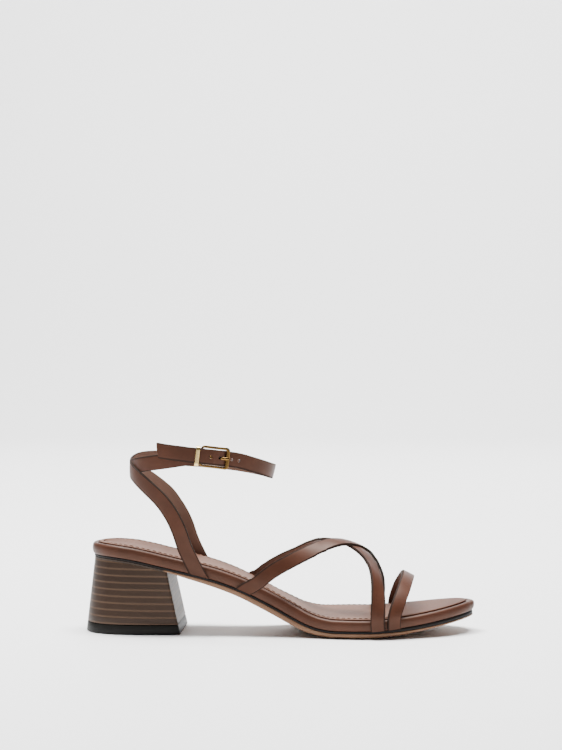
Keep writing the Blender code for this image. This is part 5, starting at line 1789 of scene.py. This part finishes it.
FINISHES = {
    Finish.STRAP: Leather("strap_leather", linear(74, 42, 29), linear(63, 35, 24), linear(14, 9, 7)),
    Finish.RIM: Leather("rim_leather", linear(72, 41, 29), linear(61, 35, 24), linear(14, 9, 7), 0.48),
    Finish.SOCK: Leather("sock_leather", linear(104, 72, 57), linear(90, 61, 48), linear(56, 36, 27), 0.60,
                         grain=1900.0, grain_depth=0.00003, coat=0.0, cloud=35.0, front=0.0735,
                         front_light=linear(76, 44, 31), front_dark=linear(66, 38, 27)),
    Finish.HEEL: Stack("heel_stack"),
    Finish.LIFT: Board("lift_rubber", linear(20, 19, 17), linear(27, 25, 23), linear(48, 45, 42), 0.50),
    Finish.OUTSOLE: Board("outsole", linear(134, 101, 78), linear(118, 88, 68), linear(158, 126, 102),
                          seat=-0.0695, seat_shade=linear(62, 52, 45)),
    Finish.MIDSOLE: Board("midsole", linear(16, 12, 11), linear(22, 17, 15), linear(40, 33, 28)),
    # The buckle's gold is darker than the keeper's: its own tone with a painted dark reflection on its
    # faces.
    Finish.BUCKLE: Metal("buckle_metal", linear(124, 94, 52), linear(84, 62, 34)),
    Finish.KEEPER: Metal("keeper_metal", linear(232, 202, 138), linear(206, 174, 112), 0.22),
}


def dress(piece: bpy.types.Object, finish: Finish, nodes: Sequence[str], looks: dict) -> None:
    """Give a piece its finish, its ride and the nodes it stands for.

    Args:
        piece: The finished piece.
        finish: Slot of the record whose finish it takes.
        nodes: CAD nodes that the piece stands for.
        looks: Materials by finish.
    """
    piece.data.materials.clear()
    piece.data.materials.append(looks[finish])
    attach(piece, "root")
    if nodes:
        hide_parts(*nodes)


def corners(pair: tuple[Vector, Vector]) -> list[list[float]]:
    """The two corners of a box as plain lists."""
    return [list(corner) for corner in pair]


def main() -> None:
    """Load the frame, build and dress every piece, and set up the studio."""
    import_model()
    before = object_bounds()
    low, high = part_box("top_lift")
    shift = np.array([low[0] + HEEL_BACK_FLARE, (low[1] + high[1]) / 2, low[2]])
    bench = Workbench(shift)
    looks = {finish: kind.material() for finish, kind in FINISHES.items()}
    form = SoleForm()
    sole = Sole(form)
    heel = Heel(form)
    dress(sole.outsole(bench), Finish.OUTSOLE, ["outsole"], looks)
    dress(sole.midsole(bench), Finish.MIDSOLE, ["midsole"], looks)
    dress(sole.footbed(bench), Finish.RIM, ["footbed"], looks)
    dress(sole.sock(bench), Finish.SOCK, ["sock_lining"], looks)
    stitches = sole.stitching(bench)
    dress(stitches, Finish.SOCK, [], looks)
    stitches.data.materials[0] = Thread("stitch_thread", linear(44, 27, 20)).material()
    dress(heel.block(bench), Finish.HEEL, ["heel_block"], looks)
    dress(heel.lift(bench), Finish.LIFT, ["top_lift"], looks)
    LOG.info("sole and heel are built")

    last = last_form(form)
    toe = Strap("toe_strap_leather", last, form, column(TOE_STRAP_ROWS, "station") * SOLE_LENGTH,
                *(column(TOE_STRAP_ROWS, part) for part in ("turn", "lift", "lean")),
                TOE_STRAP_WIDTH, rows=200)
    stations = column(INSTEP_STRAP_ROWS, "station") * SOLE_LENGTH
    turns = column(INSTEP_STRAP_ROWS, "turn")
    leans = column(INSTEP_STRAP_ROWS, "lean")
    over = Strap("instep_strap_over", last, form, stations, turns, column(INSTEP_STRAP_ROWS, "lift"), leans,
                 INSTEP_STRAP_WIDTH, rows=320)
    back = INNER_BACK * (1 - np.minimum(2 * np.linspace(0, 1, len(turns)), 1.0)**3)**2
    under = Strap("instep_strap_under", last, form, stations - back, 1 - turns, 0 * turns, -leans,
                  INSTEP_STRAP_WIDTH, rows=320)
    dress(toe.build(bench), Finish.STRAP, ["toe_strap"], looks)
    dress(over.build(bench), Finish.STRAP, ["instep_straps"], looks)
    dress(under.build(bench), Finish.STRAP, ["instep_straps"], looks)

    ankle = AnkleStraps(leg_form(form), form)
    long_path, short_path = ankle.long(), ankle.short()
    fastening = Fastening.on(long_path)
    long_strap = long_path.build(bench)
    ankle.pierce(long_strap, long_path, fastening, bench)
    dress(long_strap, Finish.STRAP, ["ankle_straps"], looks)
    dress(short_path.build(bench), Finish.STRAP, ["ankle_straps"], looks)
    for half in fastening.sleeve(bench):
        dress(half, Finish.STRAP, ["ankle_straps"], looks)
    dress(fastening.frame(bench), Finish.BUCKLE, ["buckle_frame"], looks)
    dress(fastening.prong(bench), Finish.BUCKLE, ["buckle_prong"], looks)
    dress(fastening.prong_eye(bench), Finish.BUCKLE, ["buckle_prong"], looks)
    dress(fastening.keeper(bench), Finish.KEEPER, ["keeper"], looks)
    LOG.info("straps and buckle are built")

    Studio().build(bench)
    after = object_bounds()
    {"cad": corners(before), "visual": corners(after)}


if __name__ == "__main__":
    logging.basicConfig(level=logging.INFO)
    main()
